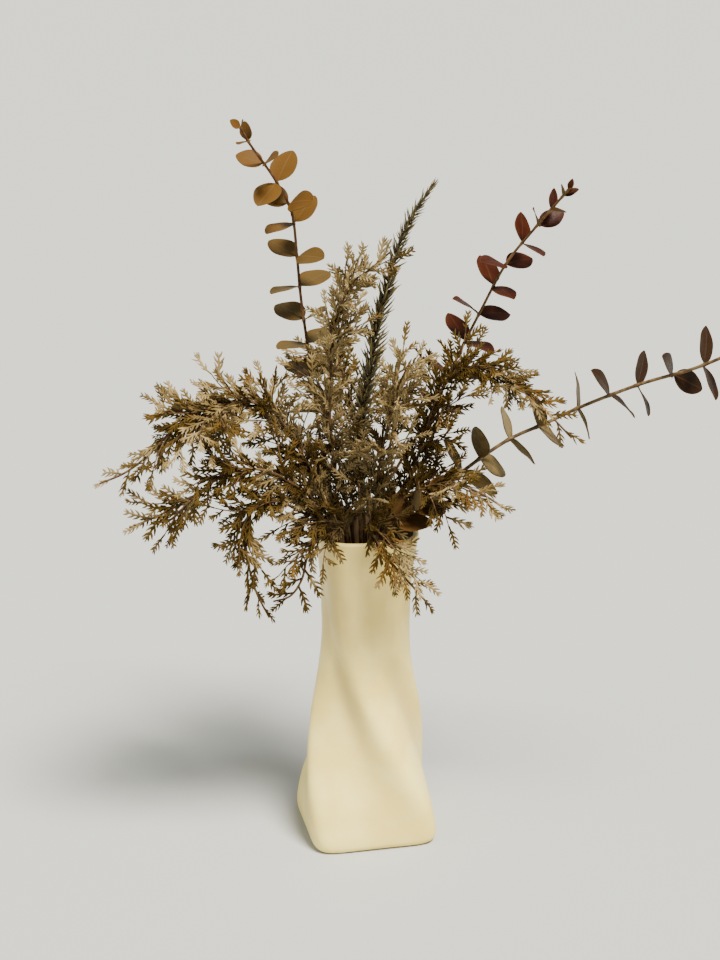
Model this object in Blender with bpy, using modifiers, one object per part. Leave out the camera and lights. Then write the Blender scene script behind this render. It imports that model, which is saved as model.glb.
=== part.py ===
"""Dried flowers in a vase, in metres, +Z up.

A twisted, rounded-square ceramic vase holds four leafy eucalyptus stems, one foxtail spike clad in
needles and ten feathery sprays, one of them at the back.  The origin is the centre of the vase's foot,
-Y is the front.  Every stem stands on the vase's floor.  Leaves, fronds and needles are placed by rule
along each stem and fused to it, and one that would touch another stem's foliage is turned or left out.
"""

import math
import random

import bpy
import bmesh
from mathutils import Matrix, Vector

# Vase: height, wall, foot and its sections (height, half side, corner exponent, turn in degrees, valley depth)
VASE_HEIGHT = 0.2335
VASE_WALL = 0.0045
VASE_FLOOR = 0.008
VASE_SEGMENTS = 28
FOOT_ROUNDING = 0.006
VALLEY_OFFSET = math.radians(14)
VASE_SECTIONS = (
    (0.000, 0.0457, 7.0, 12.5, 0.000),
    (0.013, 0.0464, 7.0, 10.5, 0.010),
    (0.036, 0.0447, 6.0, 3.0, 0.030),
    (0.066, 0.0393, 5.0, -13.0, 0.060),
    (0.096, 0.0338, 4.2, -32.0, 0.080),
    (0.122, 0.0302, 3.6, -50.0, 0.080),
    (0.148, 0.0290, 3.1, -64.0, 0.050),
    (0.180, 0.0302, 2.8, -72.5, 0.020),
    (0.210, 0.0330, 2.9, -78.0, 0.005),
    (0.2335, 0.0366, 3.0, -80.0, 0.000),
)
OUTER_RINGS = (0.0, 0.0018, 0.006, 0.022, 0.042, 0.062, 0.082, 0.102, 0.122, 0.144, 0.170, 0.200, 0.2325, 0.2335)
INNER_RINGS = (0.2325, 0.205, 0.175, 0.148, 0.122, 0.096, 0.070, 0.044, 0.018, 0.008)
LIP_ROUNDING = 0.0012
SOLE_INSET = 0.62
SHARP_ANGLE = math.radians(50)

# Stems inside the vase: they stand on its floor and draw together at its waist
STEM_GAP = 0.0006
STEM_RADIUS = 0.0012
BELLY_HEIGHT = 0.080
BELLY_SQUEEZE = 0.72
WAIST_HEIGHT = 0.148
WAIST_SQUEEZE = 0.60
FLOOR_SPREAD = 0.90

# Smooth routes: the spacing of their points, and how far a stem's tube may stray from them
ROUTE_STEP = 0.002
ROUTE_PIECES = 12
KNOT_DRIFT = 0.0003

# Clearance between the foliage of different stems, which balls stand for
CLEARANCE = 0.0005
WALL_SLANT = 1.3
CELL = 0.006
SAMPLE_STEP = 0.0015
ROOT_FREE = 0.007
MOST_CONTACTS = 0.10
AXIS_BALL = 0.0014
SPIKE_BALL = 0.0019
LEAF_BALL = 0.0014
NEEDLE_BALL = 0.0008
RIB_BALL = 0.0009
TWIG_BALL = 0.0012
TWIG_BALL_FALL = 0.0006

# Merging after a union: faces this flat to each other join (degrees) and slivers this short go
MERGES = (
    (3.0, 0.00001), (3.0, 0.00002), (3.0, 0.00003), (3.0, 0.00005), (3.0, 0.000005), (3.0, 0.000002), (3.0, 0),
    (0.7, 0.000005), (0.7, 0.000002), (0.7, 0), (0, 0.000005), (0, 0),
)
SHORTEST_EDGE = 0.000001
WELD_DISTANCE = 0.000002

# Eucalyptus: stem thickness, leaf size, and where each pair of leaves sits, measured back from the tip
STEM_TAPER = 0.55
LEAF_THICKNESS = 0.0008
LEAF_ARCH = 0.12
LEAF_STALK = 0.0005
LEAF_STATIONS = ((0.0, 0.0), (0.07, 0.0), (0.36, 1.0), (0.72, 0.86), (1.0, 0.0))
LEAF_LIFT = math.radians(76)
YOUNG_LIFT = 0.45
LEAF_GROWTH = 0.060
LEAF_GROWTH_POWER = 0.8
LEAF_BACK_GAIN = 0.02
LEAF_TURN_SPREAD = 0.2
LEAF_LIFT_SPREAD = 0.16
LEAF_SIZES = (0.92, 1.06)
LEAF_TURNS = (0, 25, -25, 50, -50, 75)
LEAF_CONTACTS = 3
EUCALYPTUS = (
    dict(
        name="eucalyptus_upper_left", mouth=(-0.021, 0.006), radius=0.0012, seed=11,
        leaf=0.0235, tip_leaf=0.008, breadth=0.74, first_turn=48,
        route=(
            (-0.031, 0.012, 0.288), (-0.036, 0.016, 0.329), (-0.041, 0.018, 0.365), (-0.045, 0.018, 0.397),
            (-0.047, 0.014, 0.424), (-0.050, 0.003, 0.457), (-0.060, -0.014, 0.482), (-0.075, -0.036, 0.509),
            (-0.081, -0.046, 0.522),
        ),
        pairs=(0.001, 0.014, 0.038, 0.058, 0.080, 0.096, 0.122, 0.144, 0.168, 0.185, 0.209, 0.234, 0.262),
    ),
    dict(
        name="eucalyptus_upper_right", mouth=(0.004, 0.012), radius=0.0012, seed=12,
        leaf=0.0262, tip_leaf=0.008, breadth=0.64, first_turn=48,
        route=(
            (0.022, 0.020, 0.270), (0.035, 0.025, 0.290), (0.051, 0.029, 0.318), (0.066, 0.031, 0.352),
            (0.079, 0.027, 0.381), (0.096, 0.018, 0.418), (0.114, 0.010, 0.444), (0.136, -0.002, 0.474),
        ),
        pairs=(0.001, 0.007, 0.020, 0.035, 0.052, 0.072, 0.090, 0.114, 0.136, 0.161, 0.188),
    ),
    dict(
        name="eucalyptus_right", mouth=(0.022, -0.001), radius=0.0013, seed=13,
        leaf=0.0260, tip_leaf=0.008, breadth=0.56, first_turn=52,
        route=(
            (0.042, 0.002, 0.249), (0.065, 0.008, 0.269), (0.099, 0.015, 0.292), (0.127, 0.016, 0.305),
            (0.152, 0.011, 0.319), (0.189, -0.004, 0.339), (0.225, -0.022, 0.356), (0.253, -0.039, 0.375),
            (0.278, -0.056, 0.396),
        ),
        pairs=(0.001, 0.011, 0.026, 0.046, 0.070, 0.094, 0.121, 0.142, 0.168, 0.199, 0.221, 0.246, 0.261),
    ),
    dict(
        name="eucalyptus_rim", mouth=(0.013, -0.020), radius=0.0012, seed=14,
        leaf=0.0290, tip_leaf=0.022, breadth=0.78, first_turn=48,
        route=((0.017, -0.025, 0.243), (0.027, -0.031, 0.256), (0.043, -0.036, 0.266)),
        pairs=(0.001, 0.014),
        set_leaves=(
            (0.041, (0.50, 0.10, 0.86), (0.0, -1.0, 0.1), 0.026),
            (0.033, (0.98, -0.10, -0.06), (0.0, -0.35, 1.0), 0.027),
        ),
    ),
)

# Foxtail spike: its stem, and its needles, set on a spiral
SPIKE_NAME = "foxtail_spike"
SPIKE_MOUTH = (-0.001, 0.000)
SPIKE_ROUTE = (
    (-0.004, -0.003, 0.284), (-0.003, -0.004, 0.314), (0.002, -0.004, 0.343), (0.007, -0.006, 0.379),
    (0.014, -0.008, 0.407), (0.021, -0.010, 0.433), (0.030, -0.012, 0.456), (0.044, -0.015, 0.478),
)
SPIKE_RADIUS = 0.0017
SPIKE_TAPER = 0.45
SPIKE_NEEDLES = 96
SPIKE_CLAD = 0.215
SPIKE_CROWDING = 1.08
NEEDLE_LENGTH = 0.0115
NEEDLE_RADIUS = 0.0007
NEEDLE_LEAN = math.radians(36)
YOUNG_NEEDLE = 0.5
NEEDLE_GROWTH = 0.12
NEEDLE_OPENING = 0.03
GOLDEN_ANGLE = math.radians(137.508)

# Sprays: woody axes, and flat fronds cut into twigs, each frond running out to a tip
AXIS_RADIUS = 0.0012
AXIS_TAPER = 0.6
FROND_THICKNESS = 0.0008
FROND_LEAVE = math.radians(38)
FROND_REACH = 0.046
FROND_BOW = 0.42
FROND_POINTS = 16
FROND_RIB = 0.0013
RIB_TAPER = 0.5
FROND_TURNS = (0, 30, -30, 60, -60, 90)
FROND_FACING = (0.0, -0.75, 0.65)
FACING_SPREAD = (0.5, 0.4, 0.4)
SHORTENING = 0.6
LEAVE_ABOVE = 0.004
END_FROND = 0.055
TWIG_STEP = 0.0120
FEWEST_STRETCHES = 3
TWIG_LENGTH = 0.0135
TWIG_SHARE = 0.30
SHORTEST_TWIG = 0.003
TWIG_LEAN = math.radians(40)
WEAK_TWIG = 0.74
WEAK_LEAN = 0.82
# Twigs are shorter at a frond's root, grow this fast, and fall off by this much at its tip
TWIG_PROFILE = (0.55, 2.0, 0.65)
# Lower fronds, one for each step down an axis
LOWER_SEED = 50
LOWER_START = 0.006
LOWER_STEP = 0.034
LOWER_LEAN = math.radians(48)
LOWER_LEAN_SPREAD = 0.15
LOWER_REACHES = (0.75, 1.0)
# A frond that finds no room is tried shorter, and swung about its axis by this many degrees
FROND_TRIES = (
    (1.0, 0), (0.9, 12), (0.9, -12), (0.8, 0), (0.8, 25), (0.8, -25), (0.7, 40), (0.7, -40), (0.6, 0), (0.5, 30),
    (0.5, -30),
)
SPRAYS = (
    dict(
        name="spray_left_high", mouth=(-0.015, -0.003), seed=21,
        route=(
            (-0.030, -0.010, 0.265), (-0.040, -0.012, 0.284), (-0.052, -0.015, 0.305), (-0.062, -0.018, 0.322),
            (-0.076, -0.022, 0.331), (-0.092, -0.028, 0.332), (-0.108, -0.032, 0.329), (-0.122, -0.035, 0.323),
            (-0.136, -0.038, 0.311), (-0.150, -0.040, 0.297), (-0.164, -0.042, 0.287), (-0.181, -0.044, 0.280),
        ),
        tips=(
            (-0.140, -0.022, 0.341), (-0.114, -0.045, 0.352), (-0.109, -0.005, 0.337), (-0.095, -0.038, 0.353),
            (-0.080, -0.008, 0.348), (-0.059, -0.030, 0.353), (-0.138, -0.060, 0.336), (-0.137, -0.030, 0.287),
            (-0.144, -0.066, 0.287), (-0.120, -0.085, 0.303), (-0.105, -0.105, 0.318), (-0.085, -0.095, 0.327),
            (-0.097, 0.020, 0.299), (-0.123, 0.010, 0.294),
        ),
    ),
    dict(
        name="spray_left_low", mouth=(-0.013, -0.013), seed=22,
        route=(
            (-0.036, -0.024, 0.262), (-0.065, -0.040, 0.287), (-0.092, -0.050, 0.291), (-0.110, -0.055, 0.279),
            (-0.136, -0.058, 0.264), (-0.160, -0.060, 0.254),
        ),
        tips=(
            (-0.165, -0.040, 0.267), (-0.140, -0.072, 0.243), (-0.133, -0.045, 0.235), (-0.108, -0.072, 0.262),
            (-0.097, -0.042, 0.258), (-0.121, -0.095, 0.290), (-0.088, -0.085, 0.282),
        ),
    ),
    dict(
        name="spray_left_hanging", mouth=(-0.021, -0.011), seed=23,
        route=(
            (-0.043, -0.030, 0.254), (-0.063, -0.040, 0.267), (-0.077, -0.048, 0.262), (-0.082, -0.050, 0.249),
            (-0.081, -0.048, 0.226), (-0.076, -0.046, 0.203), (-0.067, -0.044, 0.182),
        ),
        tips=((-0.094, -0.040, 0.226), (-0.064, -0.054, 0.212), (-0.085, -0.066, 0.222)),
    ),
    dict(
        name="spray_rim_left", mouth=(-0.013, -0.022), seed=24,
        route=(
            (-0.022, -0.031, 0.2395), (-0.033, -0.041, 0.238), (-0.040, -0.046, 0.228), (-0.044, -0.048, 0.212),
            (-0.052, -0.046, 0.199), (-0.064, -0.044, 0.194),
        ),
        tips=(
            (-0.058, -0.038, 0.221), (-0.060, -0.062, 0.247), (-0.058, -0.040, 0.251), (-0.029, -0.064, 0.219),
            (-0.068, -0.060, 0.207),
        ),
    ),
    dict(
        name="spray_centre_tall", mouth=(-0.010, 0.004), seed=25,
        route=(
            (-0.020, -0.008, 0.271), (-0.024, -0.010, 0.307), (-0.025, -0.010, 0.331), (-0.024, -0.011, 0.358),
            (-0.021, -0.012, 0.384), (-0.014, -0.015, 0.404), (-0.007, -0.020, 0.416), (0.002, -0.026, 0.424),
            (0.016, -0.030, 0.437),
        ),
        tips=(
            (-0.056, -0.025, 0.345), (-0.052, 0.002, 0.356), (-0.029, -0.022, 0.405), (-0.008, 0.012, 0.329),
            (-0.007, -0.035, 0.371), (-0.003, 0.008, 0.387), (-0.013, -0.020, 0.435), (-0.003, -0.038, 0.441),
            (0.032, -0.034, 0.439), (-0.032, -0.045, 0.378), (-0.002, 0.002, 0.420),
        ),
    ),
    dict(
        name="spray_centre_pale", mouth=(0.006, -0.010), seed=26,
        route=(
            (0.009, -0.026, 0.284), (0.015, -0.036, 0.320), (0.020, -0.046, 0.345), (0.028, -0.060, 0.368),
        ),
        tips=(
            (0.028, -0.043, 0.393), (0.040, -0.062, 0.385), (0.051, -0.050, 0.367), (0.019, -0.080, 0.380),
            (0.025, -0.088, 0.355), (0.041, -0.070, 0.348), (0.004, -0.070, 0.316), (-0.011, -0.058, 0.309),
            (0.021, -0.085, 0.324),
        ),
    ),
    dict(
        name="spray_right_high", mouth=(0.012, 0.003), seed=27,
        route=(
            (0.030, -0.004, 0.270), (0.040, -0.010, 0.301), (0.048, -0.014, 0.330), (0.057, -0.018, 0.346),
            (0.069, -0.022, 0.355), (0.084, -0.028, 0.355), (0.102, -0.033, 0.346), (0.122, -0.037, 0.329),
            (0.139, -0.042, 0.312),
        ),
        tips=(
            (0.056, -0.035, 0.371), (0.079, -0.005, 0.376), (0.088, -0.032, 0.370), (0.103, -0.050, 0.356),
            (0.114, -0.015, 0.337), (0.122, -0.056, 0.333), (0.083, -0.062, 0.338), (0.064, -0.062, 0.335),
            (0.067, -0.050, 0.310), (0.090, 0.008, 0.335),
        ),
    ),
    dict(
        name="spray_right_low", mouth=(0.016, -0.010), seed=38,
        route=(
            (0.028, -0.022, 0.262), (0.044, -0.036, 0.276), (0.061, -0.045, 0.280), (0.078, -0.050, 0.275),
            (0.096, -0.052, 0.264),
        ),
        tips=(
            (0.091, -0.072, 0.266), (0.060, -0.058, 0.238), (0.049, -0.070, 0.258), (0.069, -0.070, 0.293),
            (0.088, -0.028, 0.268), (0.066, -0.022, 0.292),
        ),
    ),
    dict(
        name="spray_rim_front", mouth=(0.000, -0.022), seed=29,
        route=(
            (0.004, -0.032, 0.2395), (0.009, -0.042, 0.236), (0.015, -0.048, 0.228), (0.023, -0.052, 0.219),
            (0.032, -0.053, 0.209), (0.044, -0.052, 0.194),
        ),
        tips=(
            (0.049, -0.060, 0.207), (0.038, -0.062, 0.231), (0.019, -0.060, 0.209), (0.031, -0.074, 0.226),
        ),
    ),
    dict(
        name="spray_back", mouth=(-0.004, 0.021), seed=30,
        route=(
            (-0.006, 0.044, 0.276), (-0.010, 0.060, 0.308), (-0.018, 0.074, 0.328), (-0.034, 0.088, 0.336),
            (-0.052, 0.098, 0.330),
        ),
        tips=(
            (-0.030, 0.066, 0.356), (-0.058, 0.076, 0.342), (-0.030, 0.112, 0.328), (0.012, 0.086, 0.338),
            (0.028, 0.068, 0.316), (-0.052, 0.084, 0.304),
        ),
    ),
)

COLOURS = dict(
    vase=((0.77, 0.68, 0.46), 0.35),
    eucalyptus_upper_left=((0.30, 0.17, 0.07), 0.60),
    eucalyptus_upper_right=((0.16, 0.04, 0.02), 0.55),
    eucalyptus_right=((0.17, 0.11, 0.06), 0.60),
    eucalyptus_rim=((0.09, 0.05, 0.03), 0.60),
    foxtail_spike=((0.09, 0.09, 0.04), 0.70),
    spray=((0.27, 0.19, 0.10), 0.75),
)


def smooth_route(points):
    """Evenly spaced points, and their distances, on a smooth curve through the given points."""
    given = [Vector(point) for point in points]
    given = [given[0] * 2 - given[1]] + given + [given[-1] * 2 - given[-2]]
    dense = []
    for a, b, c, d in zip(given, given[1:], given[2:], given[3:]):
        for k in range(ROUTE_PIECES):
            t = k / ROUTE_PIECES
            cubic = (b * 3 - a - c * 3 + d) * t ** 3
            dense.append((b * 2 + (c - a) * t + (a * 2 - b * 5 + c * 4 - d) * t ** 2 + cubic) * 0.5)
    dense.append(given[-2])
    run = [0.0]
    for a, b in zip(dense, dense[1:]):
        run.append(run[-1] + (b - a).length)
    count = max(2, round(run[-1] / ROUTE_STEP))
    route = []
    index = 0
    for k in range(count + 1):
        along = run[-1] * k / count
        while index < len(run) - 2 and run[index + 1] < along:
            index += 1
        share = (along - run[index]) / max(run[index + 1] - run[index], 1e-9)
        route.append(dense[index].lerp(dense[index + 1], share))
    return route


def at(route, share):
    """The point and direction at a share, from 0 to 1, of a route's length."""
    place = min(max(share, 0.0), 1.0) * (len(route) - 1)
    index = min(int(place), len(route) - 2)
    point = route[index].lerp(route[index + 1], place - index)
    before = route[max(index - 1, 0)]
    after = route[min(index + 2, len(route) - 1)]
    return point, (after - before).normalized()


def length_of(route):
    return sum((b - a).length for a, b in zip(route, route[1:]))


def across(direction, hint):
    """The unit vector nearest to hint that is square to direction."""
    side = hint - direction * hint.dot(direction)
    if side.length < 1e-6:
        side = direction.orthogonal()
    return side.normalized()


def whole_route(mouth, outside):
    """A stem's route: up from the vase's floor, through its waist and mouth, and on through outside."""
    x, y = mouth
    floor = VASE_FLOOR + STEM_GAP + STEM_RADIUS
    inside = (
        (x * FLOOR_SPREAD, y * FLOOR_SPREAD, floor),
        (x * BELLY_SQUEEZE, y * BELLY_SQUEEZE, BELLY_HEIGHT),
        (x * WAIST_SQUEEZE, y * WAIST_SQUEEZE, WAIST_HEIGHT),
        (x, y, VASE_HEIGHT),
    )
    return smooth_route(inside + tuple(outside))


def vase_section(height):
    """Half side, corner exponent, turn and valley depth of the vase at a height."""
    rows = VASE_SECTIONS
    last = len(rows) - 2
    index = 0
    while index < last and rows[index + 1][0] <= height:
        index += 1
    a = rows[max(index - 1, 0)]
    b = rows[index]
    c = rows[index + 1]
    d = rows[min(index + 2, last + 1)]
    span = c[0] - b[0]
    t = min(max((height - b[0]) / span, 0.0), 1.0)
    values = []
    for k in range(1, 5):
        slope_b = (c[k] - a[k]) / max(c[0] - a[0], 1e-9) * span
        slope_c = (d[k] - b[k]) / max(d[0] - b[0], 1e-9) * span
        start = (2 * t ** 3 - 3 * t ** 2 + 1) * b[k] + (t ** 3 - 2 * t ** 2 + t) * slope_b
        values.append(start + (3 * t ** 2 - 2 * t ** 3) * c[k] + (t ** 3 - t ** 2) * slope_c)
    return values


def vase_radius(angle, height):
    """Distance from the axis to the vase's outer face."""
    half, exponent, turn, valley = vase_section(height)
    phase = angle - math.radians(turn)
    corner = (abs(math.cos(phase)) ** exponent + abs(math.sin(phase)) ** exponent) ** (-1 / exponent)
    fold = (0.5 + 0.5 * math.cos(4 * (phase - VALLEY_OFFSET))) ** 2
    return half * corner * (1 - valley * fold)


class Space:
    """Balls that stand for what is already placed, found quickly by their place."""

    def __init__(self):
        self.cells = {}

    def key(self, point):
        return tuple(int(math.floor(value / CELL)) for value in point)

    def add(self, owner, balls):
        for point, radius in balls:
            self.cells.setdefault(self.key(point), []).append((owner, point, radius))

    def contacts(self, owner, balls, root=None):
        """How many balls meet the owner's own growth away from root, or None where they meet anything else."""
        found = 0
        for point, radius in balls:
            if self.touches_vase(point, radius):
                return None
            i, j, k = self.key(point)
            free = root is not None and (point - root).length < ROOT_FREE
            touching = False
            for cell in ((i + a, j + b, k + c) for a in (-1, 0, 1) for b in (-1, 0, 1) for c in (-1, 0, 1)):
                for other, place, size in self.cells.get(cell, ()):
                    if (place - point).length < radius + size + CLEARANCE:
                        if other != owner:
                            return None
                        touching = touching or not free
            found += touching
        return found

    def touches_vase(self, point, radius):
        reach = radius + CLEARANCE
        if point.z > VASE_HEIGHT + reach:
            return False
        angle = math.atan2(point.y, point.x)
        outer = vase_radius(angle, min(max(point.z, 0.0), VASE_HEIGHT))
        away = math.hypot(point.x, point.y)
        return outer - VASE_WALL * WALL_SLANT - reach < away < outer + reach


def bowed(start, heading, tip):
    """A centre line that leaves start along heading and bends to tip."""
    reach = (tip - start).length
    middle = start + heading * reach * FROND_BOW
    line = []
    for k in range(FROND_POINTS + 1):
        t = k / FROND_POINTS
        line.append(start * (1 - t) ** 2 + middle * (2 * t * (1 - t)) + tip * t ** 2)
    return line


def leaving_share(route, end, tip, reach):
    """Where a frond leaves its axis, so that its reach and its angle with the axis are the usual ones."""
    best = (math.inf, end)
    for k in range(40, 101):
        share = end * k / 100
        point, heading = at(route, share)
        if point.z < VASE_HEIGHT + LEAVE_ABOVE:
            continue
        away = tip - point
        score = abs(away.length - reach) / reach + abs(heading.angle(away) - FROND_LEAVE)
        best = min(best, (score, share))
    return best[1]


def frond_twigs(line):
    """Twigs of a frond: the stretch of the rib that each springs from, its side, length and lean."""
    total = length_of(line)
    count = max(FEWEST_STRETCHES, round(total / TWIG_STEP))
    first, growth_rate, fall = TWIG_PROFILE
    longest = min(TWIG_LENGTH, TWIG_SHARE * total + SHORTEST_TWIG)
    twigs = []
    for k in range(count):
        share = (k + 0.5) / count
        reach = longest * min(1.0, first + growth_rate * share) * (1.0 - fall * share ** 3)
        for hand in (1, -1):
            if (k + (hand > 0)) % 2:
                twigs.append((k, hand, reach, TWIG_LEAN))
            else:
                twigs.append((k, hand, reach * WEAK_TWIG, TWIG_LEAN * WEAK_LEAN))
    return count, twigs


def frond_frame(line, face, share):
    """Point, direction and sideways vector on a frond's rib."""
    point, heading = at(line, share)
    return point, heading, across(heading, face).cross(heading)


def twig_tip(line, face, count, twig):
    """Root and tip of one twig of a frond."""
    stretch, hand, reach, lean = twig
    point, heading, side = frond_frame(line, face, (stretch + 0.5) / count)
    return point, point + heading * (reach * math.cos(lean)) + side * (hand * reach * math.sin(lean))


def frond_balls(line, face):
    """Balls along a frond's rib and twigs."""
    count, twigs = frond_twigs(line)
    balls = []
    for twig in twigs:
        root, tip = twig_tip(line, face, count, twig)
        steps = max(2, round(twig[2] / SAMPLE_STEP))
        for m in range(steps + 1):
            balls.append((root.lerp(tip, m / steps), TWIG_BALL - TWIG_BALL_FALL * m / steps))
    steps = round(length_of(line) / (2 * SAMPLE_STEP))
    balls += [(at(line, m / steps)[0], RIB_BALL) for m in range(1, steps + 1)]
    return balls


def lower_tips(route, end, rng):
    """Tips of the fronds that clothe an axis from the vase's mouth up, turned about it by the golden angle."""
    total = length_of(route)
    tips = []
    back = total * (1 - end)
    while back < total:
        point, heading = at(route, 1 - back / total)
        if point.z < VASE_HEIGHT + LOWER_START:
            break
        outward = Matrix.Rotation(GOLDEN_ANGLE * len(tips), 3, heading) @ across(heading, Vector((0, -1, 0)))
        lean = LOWER_LEAN + rng.uniform(-LOWER_LEAN_SPREAD, LOWER_LEAN_SPREAD)
        reach = FROND_REACH * rng.uniform(*LOWER_REACHES)
        tips.append(point + (heading * math.cos(lean) + outward * math.sin(lean)) * reach)
        back += LOWER_STEP
    return tips


def place_fronds(space, spray):
    """The bare stretch of a spray's axis, and the centre line and facing of each frond that has room."""
    rng = random.Random(spray["seed"])
    route = whole_route(spray["mouth"], spray["route"])
    end = 1 - END_FROND / length_of(route)
    fronds = []
    for tip in [None, *spray["tips"], *lower_tips(route, end, random.Random(spray["seed"] + LOWER_SEED))]:
        facing = Vector(mean + rng.uniform(-d, d) for mean, d in zip(FROND_FACING, FACING_SPREAD))
        best = None
        for shorter, swing in FROND_TRIES:
            if tip is None:
                start, heading = at(route, end)
                line = route[round(end * (len(route) - 1)):]
            else:
                start, heading = at(route, leaving_share(route, end, Vector(tip), FROND_REACH * shorter))
                away = Matrix.Rotation(math.radians(swing), 3, heading) @ (Vector(tip) - start)
                line = bowed(start, heading, start + away * (1 - SHORTENING * (1 - shorter)))
            for turn in FROND_TURNS:
                face = Matrix.Rotation(math.radians(turn), 3, (line[-1] - line[0]).normalized()) @ facing
                balls = frond_balls(line, face)
                met = space.contacts(spray["name"], balls, start)
                if met is not None and (best is None or met + 2 < best[0]):
                    best = (met, line, face, balls)
            if best is not None and (tip is None or best[0] <= MOST_CONTACTS * len(best[3])):
                space.add(spray["name"], best[3])
                fronds.append(best[1:3])
                break
    return route[:round(end * (len(route) - 1)) + 2], fronds


def turned_frame(point, along, facing):
    """Matrix of a blade whose root is at point, that runs along one way and shows its face to another."""
    up = across(along, facing)
    return Matrix.Translation(point) @ Matrix((along, up.cross(along), up)).transposed().to_4x4()


def leaf_frame(point, heading, turn, lift):
    """Matrix of a leaf whose root is at point, turned about the stem and leaning lift from it."""
    outward = Matrix.Rotation(turn, 3, heading) @ across(heading, Vector((0, -1, 0.3)))
    along = (heading * math.cos(lift) + outward * math.sin(lift)).normalized()
    return turned_frame(point, along, heading)


def leaf_balls(frame, size, breadth):
    """Balls over a leaf's blade."""
    balls = []
    for k in range(1, 9):
        along = size * k / 8
        half = 0.5 * size * breadth * math.sin(math.pi * min(k / 8.4, 1.0))
        for m in (-1, -0.5, 0, 0.5, 1):
            lift = LEAF_ARCH * along * (1 - along / size)
            balls.append((frame @ Vector((along, half * m, lift)), LEAF_BALL))
    return balls


def place_leaves(space, stem):
    """Frame and size of each leaf of a eucalyptus stem: those set by hand, then the pairs."""
    rng = random.Random(stem["seed"])
    route = whole_route(stem["mouth"], stem["route"])
    total = length_of(route)
    leaves = []
    for back, along, facing, size in stem.get("set_leaves", ()):
        point = at(route, 1 - back / total)[0]
        frame = turned_frame(point, Vector(along).normalized(), Vector(facing))
        balls = leaf_balls(frame, size, stem["breadth"])
        if space.contacts(stem["name"], balls, point) is not None:
            space.add(stem["name"], balls)
            leaves.append((frame, size))
    for k, back in enumerate(stem["pairs"]):
        point, heading = at(route, 1 - back / total)
        grown = min(1.0, back / LEAF_GROWTH)
        gain = (stem["leaf"] - stem["tip_leaf"]) * grown ** LEAF_GROWTH_POWER
        size = stem["tip_leaf"] + gain + LEAF_BACK_GAIN * back
        turn = math.radians(stem["first_turn"] + 90 * (k % 2)) + rng.uniform(-LEAF_TURN_SPREAD, LEAF_TURN_SPREAD)
        lift = LEAF_LIFT * (YOUNG_LIFT + (1 - YOUNG_LIFT) * grown)
        for half_turn in (0, math.pi):
            lean = lift + rng.uniform(-LEAF_LIFT_SPREAD, LEAF_LIFT_SPREAD)
            scale = rng.uniform(*LEAF_SIZES)
            for extra in LEAF_TURNS:
                frame = leaf_frame(point, heading, turn + half_turn + math.radians(extra), lean)
                balls = leaf_balls(frame, size * scale, stem["breadth"])
                met = space.contacts(stem["name"], balls, point)
                if met is not None and met <= LEAF_CONTACTS:
                    space.add(stem["name"], balls)
                    leaves.append((frame, size * scale))
                    break
    return route, leaves


def place_needles(space, route):
    """Root, direction and length of each needle of the foxtail spike."""
    needles = []
    total = length_of(route)
    for k in range(SPIKE_NEEDLES):
        share = k / (SPIKE_NEEDLES - 1)
        back = SPIKE_CLAD * (1 - share) ** SPIKE_CROWDING
        point, heading = at(route, 1 - back / total)
        outward = Matrix.Rotation(GOLDEN_ANGLE * k, 3, heading) @ across(heading, Vector((1, 0, 0)))
        lean = NEEDLE_LEAN * (YOUNG_NEEDLE + (1 - YOUNG_NEEDLE) * min(1.0, back / NEEDLE_OPENING))
        along = heading * math.cos(lean) + outward * math.sin(lean)
        reach = NEEDLE_LENGTH * (YOUNG_NEEDLE + (1 - YOUNG_NEEDLE) * min(1.0, back / NEEDLE_GROWTH))
        balls = [(point + along * reach * part, NEEDLE_BALL) for part in (0.35, 0.6, 0.85, 1.0)]
        if space.contacts(SPIKE_NAME, balls) is not None:
            space.add(SPIKE_NAME, balls)
            needles.append((point, along, reach))
    return needles


def mesh_object(name, mesh, collection):
    obj = bpy.data.objects.new(name, mesh)
    collection.objects.link(obj)
    return obj


def plain_mesh(obj):
    """The evaluated mesh of an object, which is then removed."""
    graph = bpy.context.evaluated_depsgraph_get()
    graph.update()
    mesh = bpy.data.meshes.new_from_object(obj.evaluated_get(graph))
    bpy.data.objects.remove(obj)
    return mesh


def weld(mesh):
    shape = bmesh.new()
    shape.from_mesh(mesh)
    bmesh.ops.remove_doubles(shape, verts=shape.verts, dist=WELD_DISTANCE)
    bmesh.ops.recalc_face_normals(shape, faces=shape.faces)
    bmesh.ops.triangulate(shape, faces=shape.faces)
    shape.to_mesh(mesh)
    shape.free()


def knots(route):
    """Few points that keep to a route: the tube's straight stretches stay within KNOT_DRIFT of it."""
    chosen = [0]
    for k in range(2, len(route)):
        start = route[chosen[-1]]
        along = (route[k] - start).normalized()
        between = route[chosen[-1] + 1:k]
        drift = max(((point - start).cross(along).length for point in between), default=0.0)
        if drift > KNOT_DRIFT:
            chosen.append(k - 1)
    return chosen + [len(route) - 1]


def tube(name, route, radius, taper, resolution, collection):
    """A closed tube along a route, thinner towards its end."""
    chosen = knots(route)
    curve = bpy.data.curves.new(name, "CURVE")
    curve.dimensions = "3D"
    curve.bevel_depth = radius
    curve.bevel_resolution = resolution
    curve.use_fill_caps = True
    spline = curve.splines.new("POLY")
    spline.points.add(len(chosen) - 1)
    for knot, k in zip(spline.points, chosen):
        knot.co = (*route[k], 1)
        knot.radius = 1 - (1 - taper) * k / (len(route) - 1)
    mesh = plain_mesh(mesh_object(name, curve, collection))
    weld(mesh)
    return mesh_object(name, mesh, collection)


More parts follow.
